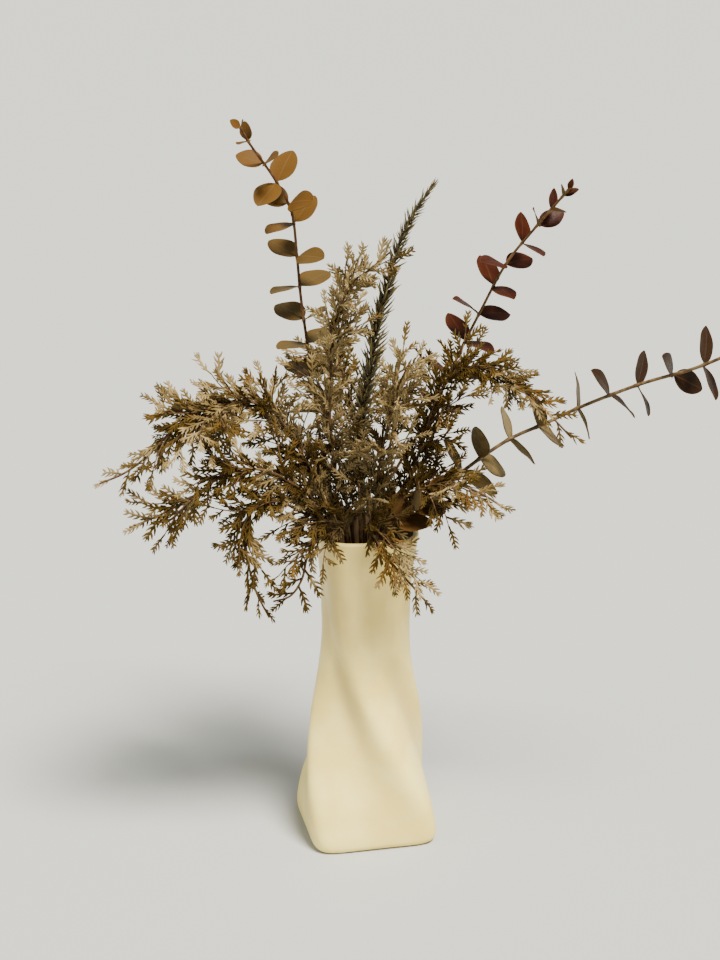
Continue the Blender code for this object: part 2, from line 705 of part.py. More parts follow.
def thicken(shape, name, thickness, points, collection):
    """A closed blade from an open sheet: in triangles, thickened to both sides, then drawn to its points."""
    bmesh.ops.triangulate(shape, faces=shape.faces)
    mesh = bpy.data.meshes.new(name)
    shape.to_mesh(mesh)
    shape.free()
    sheet = mesh_object(name, mesh, collection)
    wall = sheet.modifiers.new("thickness", "SOLIDIFY")
    wall.thickness = thickness
    wall.offset = 0
    mesh = plain_mesh(sheet)
    shape = bmesh.new()
    shape.from_mesh(mesh)
    for point in points:
        pair = [vert for vert in shape.verts if (vert.co - point).length < 0.7 * thickness]
        bmesh.ops.pointmerge(shape, verts=pair, merge_co=point)
    shape.to_mesh(mesh)
    shape.free()
    weld(mesh)
    return mesh_object(name, mesh, collection)


def leaf(name, frame, size, breadth, collection):
    """An oval leaf on a short stalk sunk in the stem: stations along its length, arched, pointed at the end."""
    shape = bmesh.new()
    last = len(LEAF_STATIONS) - 1
    bmesh.ops.create_grid(shape, x_segments=last, y_segments=1, size=0.5)
    for vert in shape.verts:
        share, fullness = LEAF_STATIONS[round((vert.co.x + 0.5) * last)]
        half = max(LEAF_STALK, 0.5 * size * breadth * fullness) * (1 if vert.co.y > 0 else -1)
        vert.co = frame @ Vector((size * share, half, LEAF_ARCH * size * share * (1 - share)))
    tip = frame @ Vector((size, 0, 0))
    ends = [vert for vert in shape.verts if (vert.co - tip).length < 1.5 * LEAF_STALK]
    bmesh.ops.pointmerge(shape, verts=ends, merge_co=tip)
    return thicken(shape, name, LEAF_THICKNESS, [tip], collection)


def frond(name, line, face, collection):
    """A flat frond: a rib in stretches, each drawn out on both sides into a pointed twig."""
    count, twigs = frond_twigs(line)
    shape = bmesh.new()
    bmesh.ops.create_grid(shape, x_segments=count, y_segments=1, size=0.5)
    edges = {}
    for edge in shape.edges:
        a, b = (vert.co for vert in edge.verts)
        if abs(a.y - b.y) < 0.5:
            edges[(round((a.x + b.x + 1) / 2 * count - 0.5), 1 if a.y > 0 else -1)] = edge
    for vert in shape.verts:
        share = vert.co.x + 0.5
        point, heading, side = frond_frame(line, face, share)
        half = 0.5 * FROND_RIB * (1 - RIB_TAPER * share)
        vert.co = point + side * (half if vert.co.y > 0 else -half)
    points = []
    for twig in twigs:
        root, tip = twig_tip(line, face, count, twig)
        points.append(tip)
        grown = bmesh.ops.extrude_edge_only(shape, edges=[edges[twig[:2]]])["geom"]
        new = [item for item in grown if isinstance(item, bmesh.types.BMVert)]
        bmesh.ops.pointmerge(shape, verts=new, merge_co=tip)
    bmesh.ops.recalc_face_normals(shape, faces=shape.faces)
    return thicken(shape, name, FROND_THICKNESS, points, collection)


def needle(name, root, along, reach, collection):
    """A three-sided needle, thinnest at its tip, with its root sunk in the stem."""
    shape = bmesh.new()
    bmesh.ops.create_cone(shape, cap_ends=True, segments=3, radius1=NEEDLE_RADIUS, radius2=0, depth=reach)
    turn = along.to_track_quat("Z", "Y").to_matrix().to_4x4()
    bmesh.ops.transform(shape, matrix=Matrix.Translation(root + along * reach * 0.5) @ turn, verts=shape.verts)
    mesh = bpy.data.meshes.new(name)
    shape.to_mesh(mesh)
    shape.free()
    return mesh_object(name, mesh, collection)


def largest_body(shape):
    """Drops the loose scraps and sealed hollows that a union can leave."""
    left = set(shape.faces)
    bodies = []
    while left:
        body = {left.pop()}
        border = list(body)
        while border:
            face = border.pop()
            for edge in face.edges:
                for other in edge.link_faces:
                    if other not in body:
                        body.add(other)
                        border.append(other)
        left -= body
        bodies.append(body)
    keep = max(bodies, key=len)
    bmesh.ops.delete(shape, geom=[face for face in shape.faces if face not in keep], context="FACES")


def tidy_union(mesh):
    """One closed body, its flat faces merged as far as it stays closed."""
    merged = bpy.data.meshes.new(mesh.name)
    for flat, sliver in MERGES:
        shape = bmesh.new()
        shape.from_mesh(mesh)
        largest_body(shape)
        if sliver:
            bmesh.ops.dissolve_degenerate(shape, edges=shape.edges, dist=sliver)
        if flat:
            limit = math.radians(flat)
            bmesh.ops.dissolve_limit(shape, angle_limit=limit, verts=shape.verts, edges=shape.edges)
        bmesh.ops.triangulate(shape, faces=shape.faces)
        largest_body(shape)
        closed = all(edge.is_manifold and edge.calc_length() > SHORTEST_EDGE for edge in shape.edges)
        shape.to_mesh(merged)
        shape.free()
        if closed:
            break
    return merged


def fuse(name, trunk, pieces, home):
    """One body from a stem and the collection of what grows on it."""
    union = trunk.modifiers.new("growth", "BOOLEAN")
    union.operation = "UNION"
    union.operand_type = "COLLECTION"
    union.collection = pieces
    union.solver = "MANIFOLD"
    mesh = plain_mesh(trunk)
    for obj in list(pieces.objects):
        bpy.data.objects.remove(obj)
    bpy.data.collections.remove(pieces)
    return mesh_object(name, tidy_union(mesh), home)


def growth(name):
    """An empty collection for the leaves, fronds or needles of one stem."""
    pieces = bpy.data.collections.new(name + "_growth")
    bpy.context.scene.collection.children.link(pieces)
    return pieces


def paint(obj, colour, roughness):
    material = bpy.data.materials.new(obj.name)
    material.use_nodes = True
    shader = material.node_tree.nodes["Principled BSDF"]
    shader.inputs["Base Color"].default_value = (*colour, 1)
    shader.inputs["Roughness"].default_value = roughness
    shader.inputs["Metallic"].default_value = 0
    obj.data.materials.clear()
    obj.data.materials.append(material)


def make_vase(home):
    """A tube of rings up the outside, over the lip and down the inside, closed by its foot and floor."""
    rings = []
    for height in OUTER_RINGS:
        tuck = max(0.0, 1 - height / FOOT_ROUNDING)
        inset = FOOT_ROUNDING * (1 - math.sqrt(1 - tuck ** 2)) if height > 0 else FOOT_ROUNDING * SOLE_INSET
        if height == VASE_HEIGHT:
            inset = LIP_ROUNDING
        rings.append((height, inset))
    rings.append((VASE_HEIGHT, VASE_WALL - LIP_ROUNDING))
    rings += [(height, VASE_WALL) for height in INNER_RINGS]
    shape = bmesh.new()
    last = len(rings) - 1
    bmesh.ops.create_cone(shape, cap_ends=True, segments=VASE_SEGMENTS, radius1=1, radius2=1, depth=last)
    upright = [edge for edge in shape.edges if abs(edge.verts[0].co.z - edge.verts[1].co.z) > 0.5]
    bmesh.ops.subdivide_edges(shape, edges=upright, cuts=last - 1, use_grid_fill=True)
    for vert in shape.verts:
        height, inset = rings[round(vert.co.z + last / 2)]
        angle = math.atan2(vert.co.y, vert.co.x)
        away = vase_radius(angle, height) - inset
        vert.co = (away * math.cos(angle), away * math.sin(angle), height)
    bmesh.ops.triangulate(shape, faces=shape.faces)
    bmesh.ops.recalc_face_normals(shape, faces=shape.faces)
    mesh = bpy.data.meshes.new("vase")
    shape.to_mesh(mesh)
    shape.free()
    vase = mesh_object("vase", mesh, home)
    mesh.shade_smooth()
    mesh.set_sharp_from_angle(angle=SHARP_ANGLE)
    paint(vase, *COLOURS["vase"])


def make_eucalyptus(stem, route, leaves, home):
    name = stem["name"]
    trunk = tube(name, route, stem["radius"], STEM_TAPER, 0, home)
    pieces = growth(name)
    for k, (frame, size) in enumerate(leaves):
        leaf(f"{name}_leaf_{k}", frame, size, stem["breadth"], pieces)
    paint(fuse(name, trunk, pieces, home), *COLOURS[name])


def make_spike(route, needles, home):
    trunk = tube(SPIKE_NAME, route, SPIKE_RADIUS, SPIKE_TAPER, 1, home)
    pieces = growth(SPIKE_NAME)
    for k, (root, along, reach) in enumerate(needles):
        needle(f"{SPIKE_NAME}_needle_{k}", root, along, reach, pieces)
    paint(fuse(SPIKE_NAME, trunk, pieces, home), *COLOURS[SPIKE_NAME])


def make_spray(spray, axis, fronds, home):
    name = spray["name"]
    trunk = tube(name, axis, AXIS_RADIUS, AXIS_TAPER, 0, home)
    pieces = growth(name)
    for k, (line, face) in enumerate(fronds):
        frond(f"{name}_frond_{k}", line, face, pieces)
    paint(fuse(name, trunk, pieces, home), *COLOURS["spray"])


for old in list(bpy.data.objects):
    bpy.data.objects.remove(old)
arrangement = bpy.data.collections.new("dried_flowers_in_vase")
bpy.context.scene.collection.children.link(arrangement)

# Every axis claims its place first, then leaves, needles and fronds fill what is free
taken = Space()
for stem in EUCALYPTUS + SPRAYS:
    own = whole_route(stem["mouth"], stem["route"])
    taken.add(stem["name"], [(point, AXIS_BALL) for point in own])
spike_route = whole_route(SPIKE_MOUTH, SPIKE_ROUTE)
taken.add(SPIKE_NAME, [(point, SPIKE_BALL) for point in spike_route])

make_vase(arrangement)
spike_needles = place_needles(taken, spike_route)
make_spike(spike_route, spike_needles, arrangement)
for stem in EUCALYPTUS:
    own, leaves = place_leaves(taken, stem)
    make_eucalyptus(stem, own, leaves, arrangement)
for spray in SPRAYS:
    axis, fronds = place_fronds(taken, spray)
    make_spray(spray, axis, fronds, arrangement)
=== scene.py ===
"""Dried flowers in a vase: the looks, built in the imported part's own frame, in metres, +Z up.

The file follows the arrangement as it is put together: first the vase, then the foxtail spike, the four
eucalyptus stems and the feathery sprays that stand in it, and last the floor, the light and the camera.
"""

import math
import random

import bmesh
import bpy
from mathutils import Matrix, Vector, noise


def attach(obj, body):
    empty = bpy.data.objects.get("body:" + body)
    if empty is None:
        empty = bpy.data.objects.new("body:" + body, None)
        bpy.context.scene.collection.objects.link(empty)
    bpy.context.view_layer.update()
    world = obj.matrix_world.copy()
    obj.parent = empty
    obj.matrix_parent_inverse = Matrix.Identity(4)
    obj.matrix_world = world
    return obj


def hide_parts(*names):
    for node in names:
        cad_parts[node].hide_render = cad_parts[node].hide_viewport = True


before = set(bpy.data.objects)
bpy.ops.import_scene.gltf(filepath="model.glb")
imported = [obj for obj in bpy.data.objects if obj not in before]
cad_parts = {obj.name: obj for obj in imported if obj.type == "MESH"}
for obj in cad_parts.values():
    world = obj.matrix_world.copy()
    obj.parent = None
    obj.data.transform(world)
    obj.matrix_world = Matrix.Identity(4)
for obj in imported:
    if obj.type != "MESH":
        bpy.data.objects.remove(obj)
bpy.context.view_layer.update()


# The vase is one hand-formed piece of cream stoneware under a satin glaze.  Its folds and neck are painted a
# deeper colour, partly glaze that pools there and partly painted shade.  Its rounded-square body turns by a
# quarter as it rises, narrows to a waist and opens to a plain mouth.  The maker's fingers left soft dents on
# the neck.  The flat foot is bare clay, and the inside is painted dark as painted shade.
VASE_HEIGHT = 0.2335
VASE_WALL = 0.0045
VASE_FLOOR = 0.008
VASE_FACES = 4
VALLEY_OFFSET = math.radians(14)
# Height, half side, corner exponent, turn in degrees, valley depth
VASE_SECTIONS = (
    (0.000, 0.0457, 7.0, 12.5, 0.000),
    (0.013, 0.0464, 7.0, 10.5, 0.010),
    (0.036, 0.0447, 6.0, 3.0, 0.036),
    (0.066, 0.0393, 5.0, -13.0, 0.080),
    (0.096, 0.0338, 4.2, -32.0, 0.112),
    (0.122, 0.0302, 3.6, -50.0, 0.112),
    (0.148, 0.0290, 3.1, -64.0, 0.070),
    (0.180, 0.0302, 2.8, -72.5, 0.028),
    (0.210, 0.0330, 2.9, -78.0, 0.005),
    (0.2335, 0.0366, 3.0, -80.0, 0.000),
)
DEEPEST_VALLEY = 0.112
FOOT_ROUNDING = 0.0055
FLOOR_ROUNDING = 0.006
SHARP_ANGLE = math.radians(60)
VASE_SIDES = 160
FOOT_RINGS = 8
WALL_RINGS = 96
LIP_RINGS = 9
INSIDE_RINGS = 44
GLAZED_LIP_RINGS = 7
FIRST_DARK_RING = FOOT_RINGS + WALL_RINGS + GLAZED_LIP_RINGS
BROAD_DENT = 0.00022
BROAD_DENT_SCALE = 42
NECK_DENT = 0.0009
NECK_DENT_SCALE = 85
NECK_HEIGHT = 0.165
NECK_SPAN = 0.045
STROKE_RISE = 0.35
MARKS_INSIDE = 0.3
MARKS_FADE = 12
GLAZE_PALE = (0.965, 0.795, 0.25)
GLAZE_DEEP = (0.895, 0.685, 0.175)
# Deeper colour of the folds and the neck: partly glaze that pools there, partly painted shade
GLAZE_POOL_AND_SHADE = (0.60, 0.44, 0.13)
GLAZE_SPECK = (0.50, 0.38, 0.21)
BARE_CLAY = (0.62, 0.50, 0.36)
# Painted shade: the inside of the vase is painted this dark colour
INSIDE_SHADE = (0.16, 0.10, 0.05)
GRAIN_RANGE = (0.3, 0.7)
# Patches are given by the noise's scale and detail, and by where they start and are full
GLAZE_CLOUDS = (28, 3, 0.36, 0.66)
GLAZE_COAT = 0.25
# How much the folds and the neck are deepened: partly pooling glaze, partly painted shade
FOLD_POOL_AND_SHADE = 0.62
NECK_POOL_AND_SHADE = (0.115, 0.175)
NECK_POOL_AND_SHADE_LEAST = 0.1
STREAK_SHAPE = (1.0, 1.0, 0.25)
STREAK_GRAIN = (60, 3)
SPECK_CELLS = 420.0
SPECK_RADIUS = 0.13
SPECK_STRENGTH = 0.45
SPECK_GRAIN = (160, 1)
SPECK_FROM = 0.56
CLAY_EDGE = (0.0016, 0.0010)
CLAY_EDGE_WAVE = 0.001
CLAY_EDGE_GRAIN = 90
DARK_EDGE = (0.05, 0.5)
GLAZE_DULLNESS = (0.34, 0.50)
CLAY_DULLNESS = 0.4
GLOSS_GRAIN = (55, 4)
SKIN_FINE = (900, 3)
SKIN_FINE_SHARE = 0.18
SKIN_BROAD = (110, 3)
# Depth and strength
GLAZE_RELIEF = (0.0006, 0.35)


def vase_section(height):
    """Half side, corner exponent, turn and valley depth of the vase at a height."""
    rows = VASE_SECTIONS
    last = len(rows) - 2
    index = 0
    while index < last and rows[index + 1][0] <= height:
        index += 1
    a = rows[max(index - 1, 0)]
    b = rows[index]
    c = rows[index + 1]
    d = rows[min(index + 2, last + 1)]
    span = c[0] - b[0]
    t = min(max((height - b[0]) / span, 0.0), 1.0)
    values = []
    for k in range(1, 5):
        slope_b = (c[k] - a[k]) / max(c[0] - a[0], 1e-9) * span
        slope_c = (d[k] - b[k]) / max(d[0] - b[0], 1e-9) * span
        start = (2 * t ** 3 - 3 * t ** 2 + 1) * b[k] + (t ** 3 - 2 * t ** 2 + t) * slope_b
        values.append(start + (3 * t ** 2 - 2 * t ** 3) * c[k] + (t ** 3 - t ** 2) * slope_c)
    return values


def vase_fold(angle, height):
    """Distance from the axis to the vase's outer face, and how deep it is pressed in there, as a share."""
    half, exponent, turn, valley = vase_section(height)
    phase = angle - math.radians(turn)
    corner = (abs(math.cos(phase)) ** exponent + abs(math.sin(phase)) ** exponent) ** (-1 / exponent)
    depth = valley * (0.5 + 0.5 * math.cos(VASE_FACES * (phase - VALLEY_OFFSET))) ** 2
    return half * corner * (1 - depth), depth


def vase_profile():
    """Height, inset from the outer face and share of hand marks of each ring: outside, lip, inside."""
    rings = []
    for k in range(FOOT_RINGS):
        turn = math.radians(90 * k / FOOT_RINGS)
        rings.append((FOOT_ROUNDING * (1 - math.cos(turn)), FOOT_ROUNDING * (1 - math.sin(turn)), 0.0))
    rise = VASE_HEIGHT - VASE_WALL / 2 - FOOT_ROUNDING
    for k in range(WALL_RINGS):
        share = k / (WALL_RINGS - 1)
        marked = min(1.0, MARKS_FADE * share, MARKS_INSIDE + MARKS_FADE * (1 - share))
        rings.append((FOOT_ROUNDING + rise * share, 0.0, marked))
    for k in range(1, LIP_RINGS):
        turn = math.radians(180 * k / LIP_RINGS)
        height = VASE_HEIGHT - VASE_WALL / 2 * (1 - math.sin(turn))
        rings.append((height, VASE_WALL / 2 * (1 - math.cos(turn)), MARKS_INSIDE))
    for k in range(INSIDE_RINGS):
        share = k / (INSIDE_RINGS - 1)
        height = VASE_HEIGHT - VASE_WALL / 2 - (VASE_HEIGHT - VASE_WALL / 2 - VASE_FLOOR) * share
        hollow = max(0.0, 1 - (height - VASE_FLOOR) / FLOOR_ROUNDING)
        inset = VASE_WALL + FLOOR_ROUNDING * (1 - math.sqrt(1 - hollow ** 2))
        rings.append((height, inset, MARKS_INSIDE))
    return rings


def hand_marks(point):
    """How far the maker's fingers pressed the clay in or out at a point, in strokes drawn upwards."""
    neck = math.exp(-((point.z - NECK_HEIGHT) / NECK_SPAN) ** 2)
    stroke = Vector((point.x, point.y, point.z * STROKE_RISE))
    broad = BROAD_DENT * noise.noise(point * BROAD_DENT_SCALE)
    return broad + NECK_DENT * neck * noise.noise(stroke * NECK_DENT_SCALE)


def tube(sides, rings):
    """A closed tube of radius 1 round Z, its rings one unit apart and its middle at the origin."""
    shape = bmesh.new()
    bmesh.ops.create_cone(shape, cap_ends=True, segments=sides, radius1=1, radius2=1, depth=rings - 1)
    upright = [edge for edge in shape.edges if abs(edge.verts[0].co.z - edge.verts[1].co.z) > 0.5]
    bmesh.ops.subdivide_edges(shape, edges=upright, cuts=rings - 2, use_grid_fill=True)
    return shape


def mesh_from(shape, name):
    """The mesh of a finished shape, which is then dropped."""
    mesh = bpy.data.meshes.new(name)
    shape.to_mesh(mesh)
    shape.free()
    return mesh


def new_object(name, data):
    """An object that stands in the scene."""
    obj = bpy.data.objects.new(name, data)
    bpy.context.scene.collection.objects.link(obj)
    return obj


def node(tree, kind, inputs=(), **settings):
    """Adds a node, sets its options, and gives its inputs, by name or number, a value or a link."""
    made = tree.nodes.new(kind)
    for key, value in settings.items():
        setattr(made, key, value)
    for key, value in dict(inputs).items():
        if isinstance(value, bpy.types.NodeSocket):
            tree.links.new(value, made.inputs[key])
        else:
            made.inputs[key].default_value = value
    return made


def calc(tree, operation, *values):
    return node(tree, "ShaderNodeMath", enumerate(values), operation=operation).outputs[0]


def times(tree, first, second):
    return calc(tree, "MULTIPLY", first, second)


def mixed(tree, share, first, second):
    """A colour between two, each given as a colour or a socket."""
    pair = [value if isinstance(value, bpy.types.NodeSocket) else (*value, 1) for value in (first, second)]
    return node(tree, "ShaderNodeMix", {0: share, 6: pair[0], 7: pair[1]}, data_type="RGBA").outputs[2]


def layered(tree, colour, *layers):
    """A colour with others laid over it in turn, each given with its share."""
    for share, layer in layers:
        colour = mixed(tree, share, colour, layer)
    return colour


def between(tree, value, low, high):
    """A smooth step from 0 at low to 1 at high."""
    step = node(tree, "ShaderNodeMapRange", {0: value, 1: low, 2: high}, interpolation_type="SMOOTHSTEP")
    return step.outputs[0]


def grain(tree, place, scale, detail=2.0, roughness=0.5):
    """Smooth noise on the object's own coordinates, from about 0.3 to 0.7."""
    inputs = {"Vector": place, "Scale": scale, "Detail": detail, "Roughness": roughness}
    return node(tree, "ShaderNodeTexNoise", inputs).outputs[0]


def patches(tree, place, scale, detail, low, high, roughness=0.5):
    """Soft-edged patches, from 0 where the noise is at low to 1 where it is at high."""
    return between(tree, grain(tree, place, scale, detail, roughness), low, high)


def spread(tree, value, low, high):
    """Grain stretched to run from low to high."""
    inputs = enumerate((value, *GRAIN_RANGE, low, high))
    return node(tree, "ShaderNodeMapRange", inputs).outputs[0]


def stored(tree, label, output="Fac"):
    """What the mesh stores for each point under a label."""
    return node(tree, "ShaderNodeAttribute", attribute_name=label).outputs[output]


def new_material(name, **plain):
    """A material's node tree, its shader with plain values on their own sockets, and object coordinates."""
    material = bpy.data.materials.new(name)
    material.use_nodes = True
    tree = material.node_tree
    shader = tree.nodes["Principled BSDF"]
    for label, value in plain.items():
        shader.inputs[label.replace("_", " ").title().replace("Ior", "IOR")].default_value = value
    place = node(tree, "ShaderNodeTexCoord").outputs["Object"]
    return material, tree, shader, place


def finish_skin(tree, shader, colour, height, depth, strength):
    """Gives a shader its colour and a fine relief."""
    tree.links.new(colour, shader.inputs["Base Color"])
    bump = node(tree, "ShaderNodeBump", {"Strength": strength, "Distance": depth, "Height": height})
    tree.links.new(bump.outputs[0], shader.inputs["Normal"])


def cream_glaze():
    """Satin cream glaze, finely specked, with bare clay at the foot; deeper in the folds and at the neck,
    partly pooling glaze and partly painted shade; and painted dark inside as painted shade.
    """
    material, tree, shader, place = new_material(
        "cream_glaze", specular_ior_level=0.45, coat_weight=0.08, coat_roughness=GLAZE_COAT
    )
    height = node(tree, "ShaderNodeSeparateXYZ", {0: place}).outputs["Z"]
    # The neck deepens in streaks: partly pooling glaze, partly painted shade of the foliage above
    drawn_out = node(tree, "ShaderNodeMapping", {"Vector": place, "Scale": STREAK_SHAPE}).outputs[0]
    neck_streaks = calc(tree, "ADD", grain(tree, drawn_out, *STREAK_GRAIN), NECK_POOL_AND_SHADE_LEAST)
    neck = times(tree, between(tree, height, *NECK_POOL_AND_SHADE), neck_streaks)
    cells = node(tree, "ShaderNodeTexVoronoi", {"Vector": place, "Scale": SPECK_CELLS}).outputs["Distance"]
    speck = times(tree, calc(tree, "LESS_THAN", cells, SPECK_RADIUS), SPECK_STRENGTH)
    sparse = calc(tree, "GREATER_THAN", grain(tree, place, *SPECK_GRAIN), SPECK_FROM)
    uneven = calc(tree, "ADD", height, times(tree, grain(tree, place, CLAY_EDGE_GRAIN), CLAY_EDGE_WAVE))
    clay = between(tree, uneven, *CLAY_EDGE)
    colour = layered(
        tree, GLAZE_PALE,
        (patches(tree, place, *GLAZE_CLOUDS), GLAZE_DEEP),
        # Folds and neck deepened: partly pooling glaze, partly painted shade
        (calc(tree, "MAXIMUM", times(tree, stored(tree, "fold_depth"), FOLD_POOL_AND_SHADE), neck), GLAZE_POOL_AND_SHADE),
        (times(tree, speck, sparse), GLAZE_SPECK),
        (clay, BARE_CLAY),
        # Painted shade: the inside is painted dark
        (between(tree, stored(tree, "inside"), *DARK_EDGE), INSIDE_SHADE),
    )
    gloss = spread(tree, grain(tree, place, *GLOSS_GRAIN), *GLAZE_DULLNESS)
    tree.links.new(calc(tree, "MULTIPLY_ADD", clay, CLAY_DULLNESS, gloss), shader.inputs["Roughness"])
    fine = grain(tree, place, *SKIN_FINE)
    skin = calc(tree, "MULTIPLY_ADD", fine, SKIN_FINE_SHARE, grain(tree, place, *SKIN_BROAD))
    finish_skin(tree, shader, colour, skin, *GLAZE_RELIEF)
    return material


rings = vase_profile()
shape = tube(VASE_SIDES, len(rings))
within = shape.verts.layers.float.new("inside")
fold_depth = shape.verts.layers.float.new("fold_depth")
for vert in shape.verts:
    index = round(vert.co.z + (len(rings) - 1) / 2)
    height, inset, marked = rings[index]
    angle = math.atan2(vert.co.y, vert.co.x)
    away, depth = vase_fold(angle, height)
    away -= inset
    away += marked * hand_marks(Vector((away * math.cos(angle), away * math.sin(angle), height)))
    vert.co = (away * math.cos(angle), away * math.sin(angle), height)
    vert[within] = float(index >= FIRST_DARK_RING)
    # The fold's depth, which the glaze colour deepens with, partly as painted shade
    vert[fold_depth] = depth / DEEPEST_VALLEY
bmesh.ops.recalc_face_normals(shape, faces=shape.faces)
mesh = mesh_from(shape, "vase_stoneware")
mesh.shade_smooth()
mesh.set_sharp_from_angle(angle=SHARP_ANGLE)
mesh.materials.append(cream_glaze())
vase = new_object("vase_stoneware", mesh)
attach(vase, "root")
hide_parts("vase")


# The foxtail spike is a straight stem, dried to dark olive, clad almost down to the vase's mouth in short
# stiff needles that lie forward along it.  It stands on the vase's floor, as every stem does, drawn together
# with the others at the waist, and leans forward and right at its top.
STEM_GAP = 0.0006
STEM_RADIUS = 0.0012
BELLY_HEIGHT = 0.080
BELLY_SQUEEZE = 0.72
WAIST_HEIGHT = 0.148
WAIST_SQUEEZE = 0.60
FLOOR_SPREAD = 0.90
ROUTE_STEP = 0.002
ROUTE_PIECES = 12
GOLDEN_ANGLE = math.radians(137.508)
SPIKE_MOUTH = (-0.001, 0.000)
SPIKE_ROUTE = (
    (-0.004, -0.003, 0.284), (-0.003, -0.004, 0.314), (0.002, -0.004, 0.343), (0.007, -0.006, 0.379),
    (0.014, -0.008, 0.407), (0.021, -0.01, 0.433), (0.03, -0.012, 0.456), (0.044, -0.015, 0.478),
)
SPIKE_RADIUS = 0.0018
SPIKE_TAPER = 0.40
SPIKE_SIDES = 9
SPIKE_CLAD = 0.222
SPIKE_NEEDLES = 380
SPIKE_SEED = 5
NEEDLE_LENGTH = 0.0150
NEEDLE_SIZES = (0.75, 1.08)
NEEDLE_LEAN = math.radians(43)
NEEDLE_LEANS = (0.7, 1.3)
NEEDLE_STRAY = 0.5
# Gain along the last of the spike, and the share that is left at its very tip
NEEDLE_OPENING = (5.0, 0.45)
NEEDLE_GROWTH = (1.1, 0.48)
NEEDLE_SHAPES = 3
NEEDLE_SIDES = 5
NEEDLE_FLATNESS = 0.8
NEEDLE_BENDS = (0.05, 0.16)
# Share of the length and half width
NEEDLE_STATIONS = ((0.0, 0.046), (0.30, 0.062), (0.70, 0.050), (1.0, 0.010))
SPIKE_BARK = (0.035, 0.026, 0.008)
NEEDLE_DARK = (0.026, 0.019, 0.005)
NEEDLE_OLIVE = (0.120, 0.094, 0.028)
NEEDLE_TAN = (0.24, 0.17, 0.07)
OLIVE_REACH = (0.1, 0.9)
TAN_TONES = (0.6, 1.0)
TAN_SHARE = 0.7
NEEDLE_GRAIN = 700
NEEDLE_MOTTLE = 0.5
NEEDLE_SKIN = 2500
NEEDLE_RELIEF = (0.0001, 0.5)
BARK_PATCHES = (240, 3, 0.38, 0.64)
BARK_GRAIN = 500
BARK_DULLNESS = (0.55, 0.8)
FIBRE_GRAIN = (1400, 3)
BARK_RELIEF = (0.0002, 0.6)
LAST_PICK = 99
TONE_TURN = 7


def smooth_route(points):
    """Evenly spaced points on a smooth curve through the given points."""
    given = [Vector(point) for point in points]
    given = [given[0] * 2 - given[1]] + given + [given[-1] * 2 - given[-2]]
    dense = []
    for a, b, c, d in zip(given, given[1:], given[2:], given[3:]):
        for k in range(ROUTE_PIECES):
            t = k / ROUTE_PIECES
            cubic = (b * 3 - a - c * 3 + d) * t ** 3
            dense.append((b * 2 + (c - a) * t + (a * 2 - b * 5 + c * 4 - d) * t ** 2 + cubic) * 0.5)
    dense.append(given[-2])
    run = [0.0]
    for a, b in zip(dense, dense[1:]):
        run.append(run[-1] + (b - a).length)
    count = max(2, round(run[-1] / ROUTE_STEP))
    route = []
    index = 0
    for k in range(count + 1):
        along = run[-1] * k / count
        while index < len(run) - 2 and run[index + 1] < along:
            index += 1
        share = (along - run[index]) / max(run[index + 1] - run[index], 1e-9)
        route.append(dense[index].lerp(dense[index + 1], share))
    return route


def whole_route(mouth, outside):
    """A stem's route: up from the vase's floor, through its waist and mouth, and on through outside."""
    x, y = mouth
    inside = (
        (x * FLOOR_SPREAD, y * FLOOR_SPREAD, VASE_FLOOR + STEM_GAP + STEM_RADIUS),
        (x * BELLY_SQUEEZE, y * BELLY_SQUEEZE, BELLY_HEIGHT),
        (x * WAIST_SQUEEZE, y * WAIST_SQUEEZE, WAIST_HEIGHT),
        (x, y, VASE_HEIGHT),
    )
    return smooth_route(inside + outside)


def length_of(route):
    return sum((b - a).length for a, b in zip(route, route[1:]))


def tapered(radius, taper, count):
    """Radii that shrink evenly to a share of the first."""
    return [radius * (1 - (1 - taper) * k / (count - 1)) for k in range(count)]


def write_field(mesh, label, values, kind="FLOAT"):
    """Stores a value for each point of a mesh under a label, vectors as one flat list."""
    field = mesh.attributes.new(label, kind, "POINT")
    field.data.foreach_set("value" if kind == "FLOAT" else "vector", values)


def path_object(name, strands):
    """Loose lines for a tree to grow on: each strand is its points, radii, face and kind."""
    lines = []
    start = 0
    for strand in strands:
        lines += [(start + k, start + k + 1) for k in range(len(strand[0]) - 1)]
        start += len(strand[0])
    mesh = bpy.data.meshes.new(name)
    mesh.from_pydata([point for strand in strands for point in strand[0]], lines, [])
    write_field(mesh, "thick", [radius for strand in strands for radius in strand[1]])
    faces = [value for strand in strands for _ in strand[0] for value in strand[2]]
    write_field(mesh, "face", faces, "FLOAT_VECTOR")
    write_field(mesh, "kind", [strand[3] for strand in strands for _ in strand[0]])
    return bpy.data.objects.new(name, mesh)


def new_tree(name, inputs):
    """A Geometry Nodes tree with a path and named inputs, and the sockets that bring them in."""
    tree = bpy.data.node_groups.new(name, "GeometryNodeTree")
    tree.interface.new_socket("Path", in_out="INPUT", socket_type="NodeSocketGeometry")
    for label, kind in inputs.items():
        tree.interface.new_socket(label, in_out="INPUT", socket_type="NodeSocket" + kind)
    tree.interface.new_socket("Piece", in_out="OUTPUT", socket_type="NodeSocketGeometry")
    return tree, tree.nodes.new("NodeGroupInput").outputs


def shaped(tree, kind, inputs=(), **settings):
    """What a new node of Geometry Nodes puts out first."""
    return node(tree, "GeometryNode" + kind, inputs, **settings).outputs[0]


def named(tree, label, kind="FLOAT"):
    return shaped(tree, "InputNamedAttribute", {"Name": label}, data_type=kind)


def store(tree, geometry, label, value, kind="FLOAT", domain="POINT"):
    inputs = {"Geometry": geometry, "Name": label, "Value": value}
    return shaped(tree, "StoreNamedAttribute", inputs, data_type=kind, domain=domain)


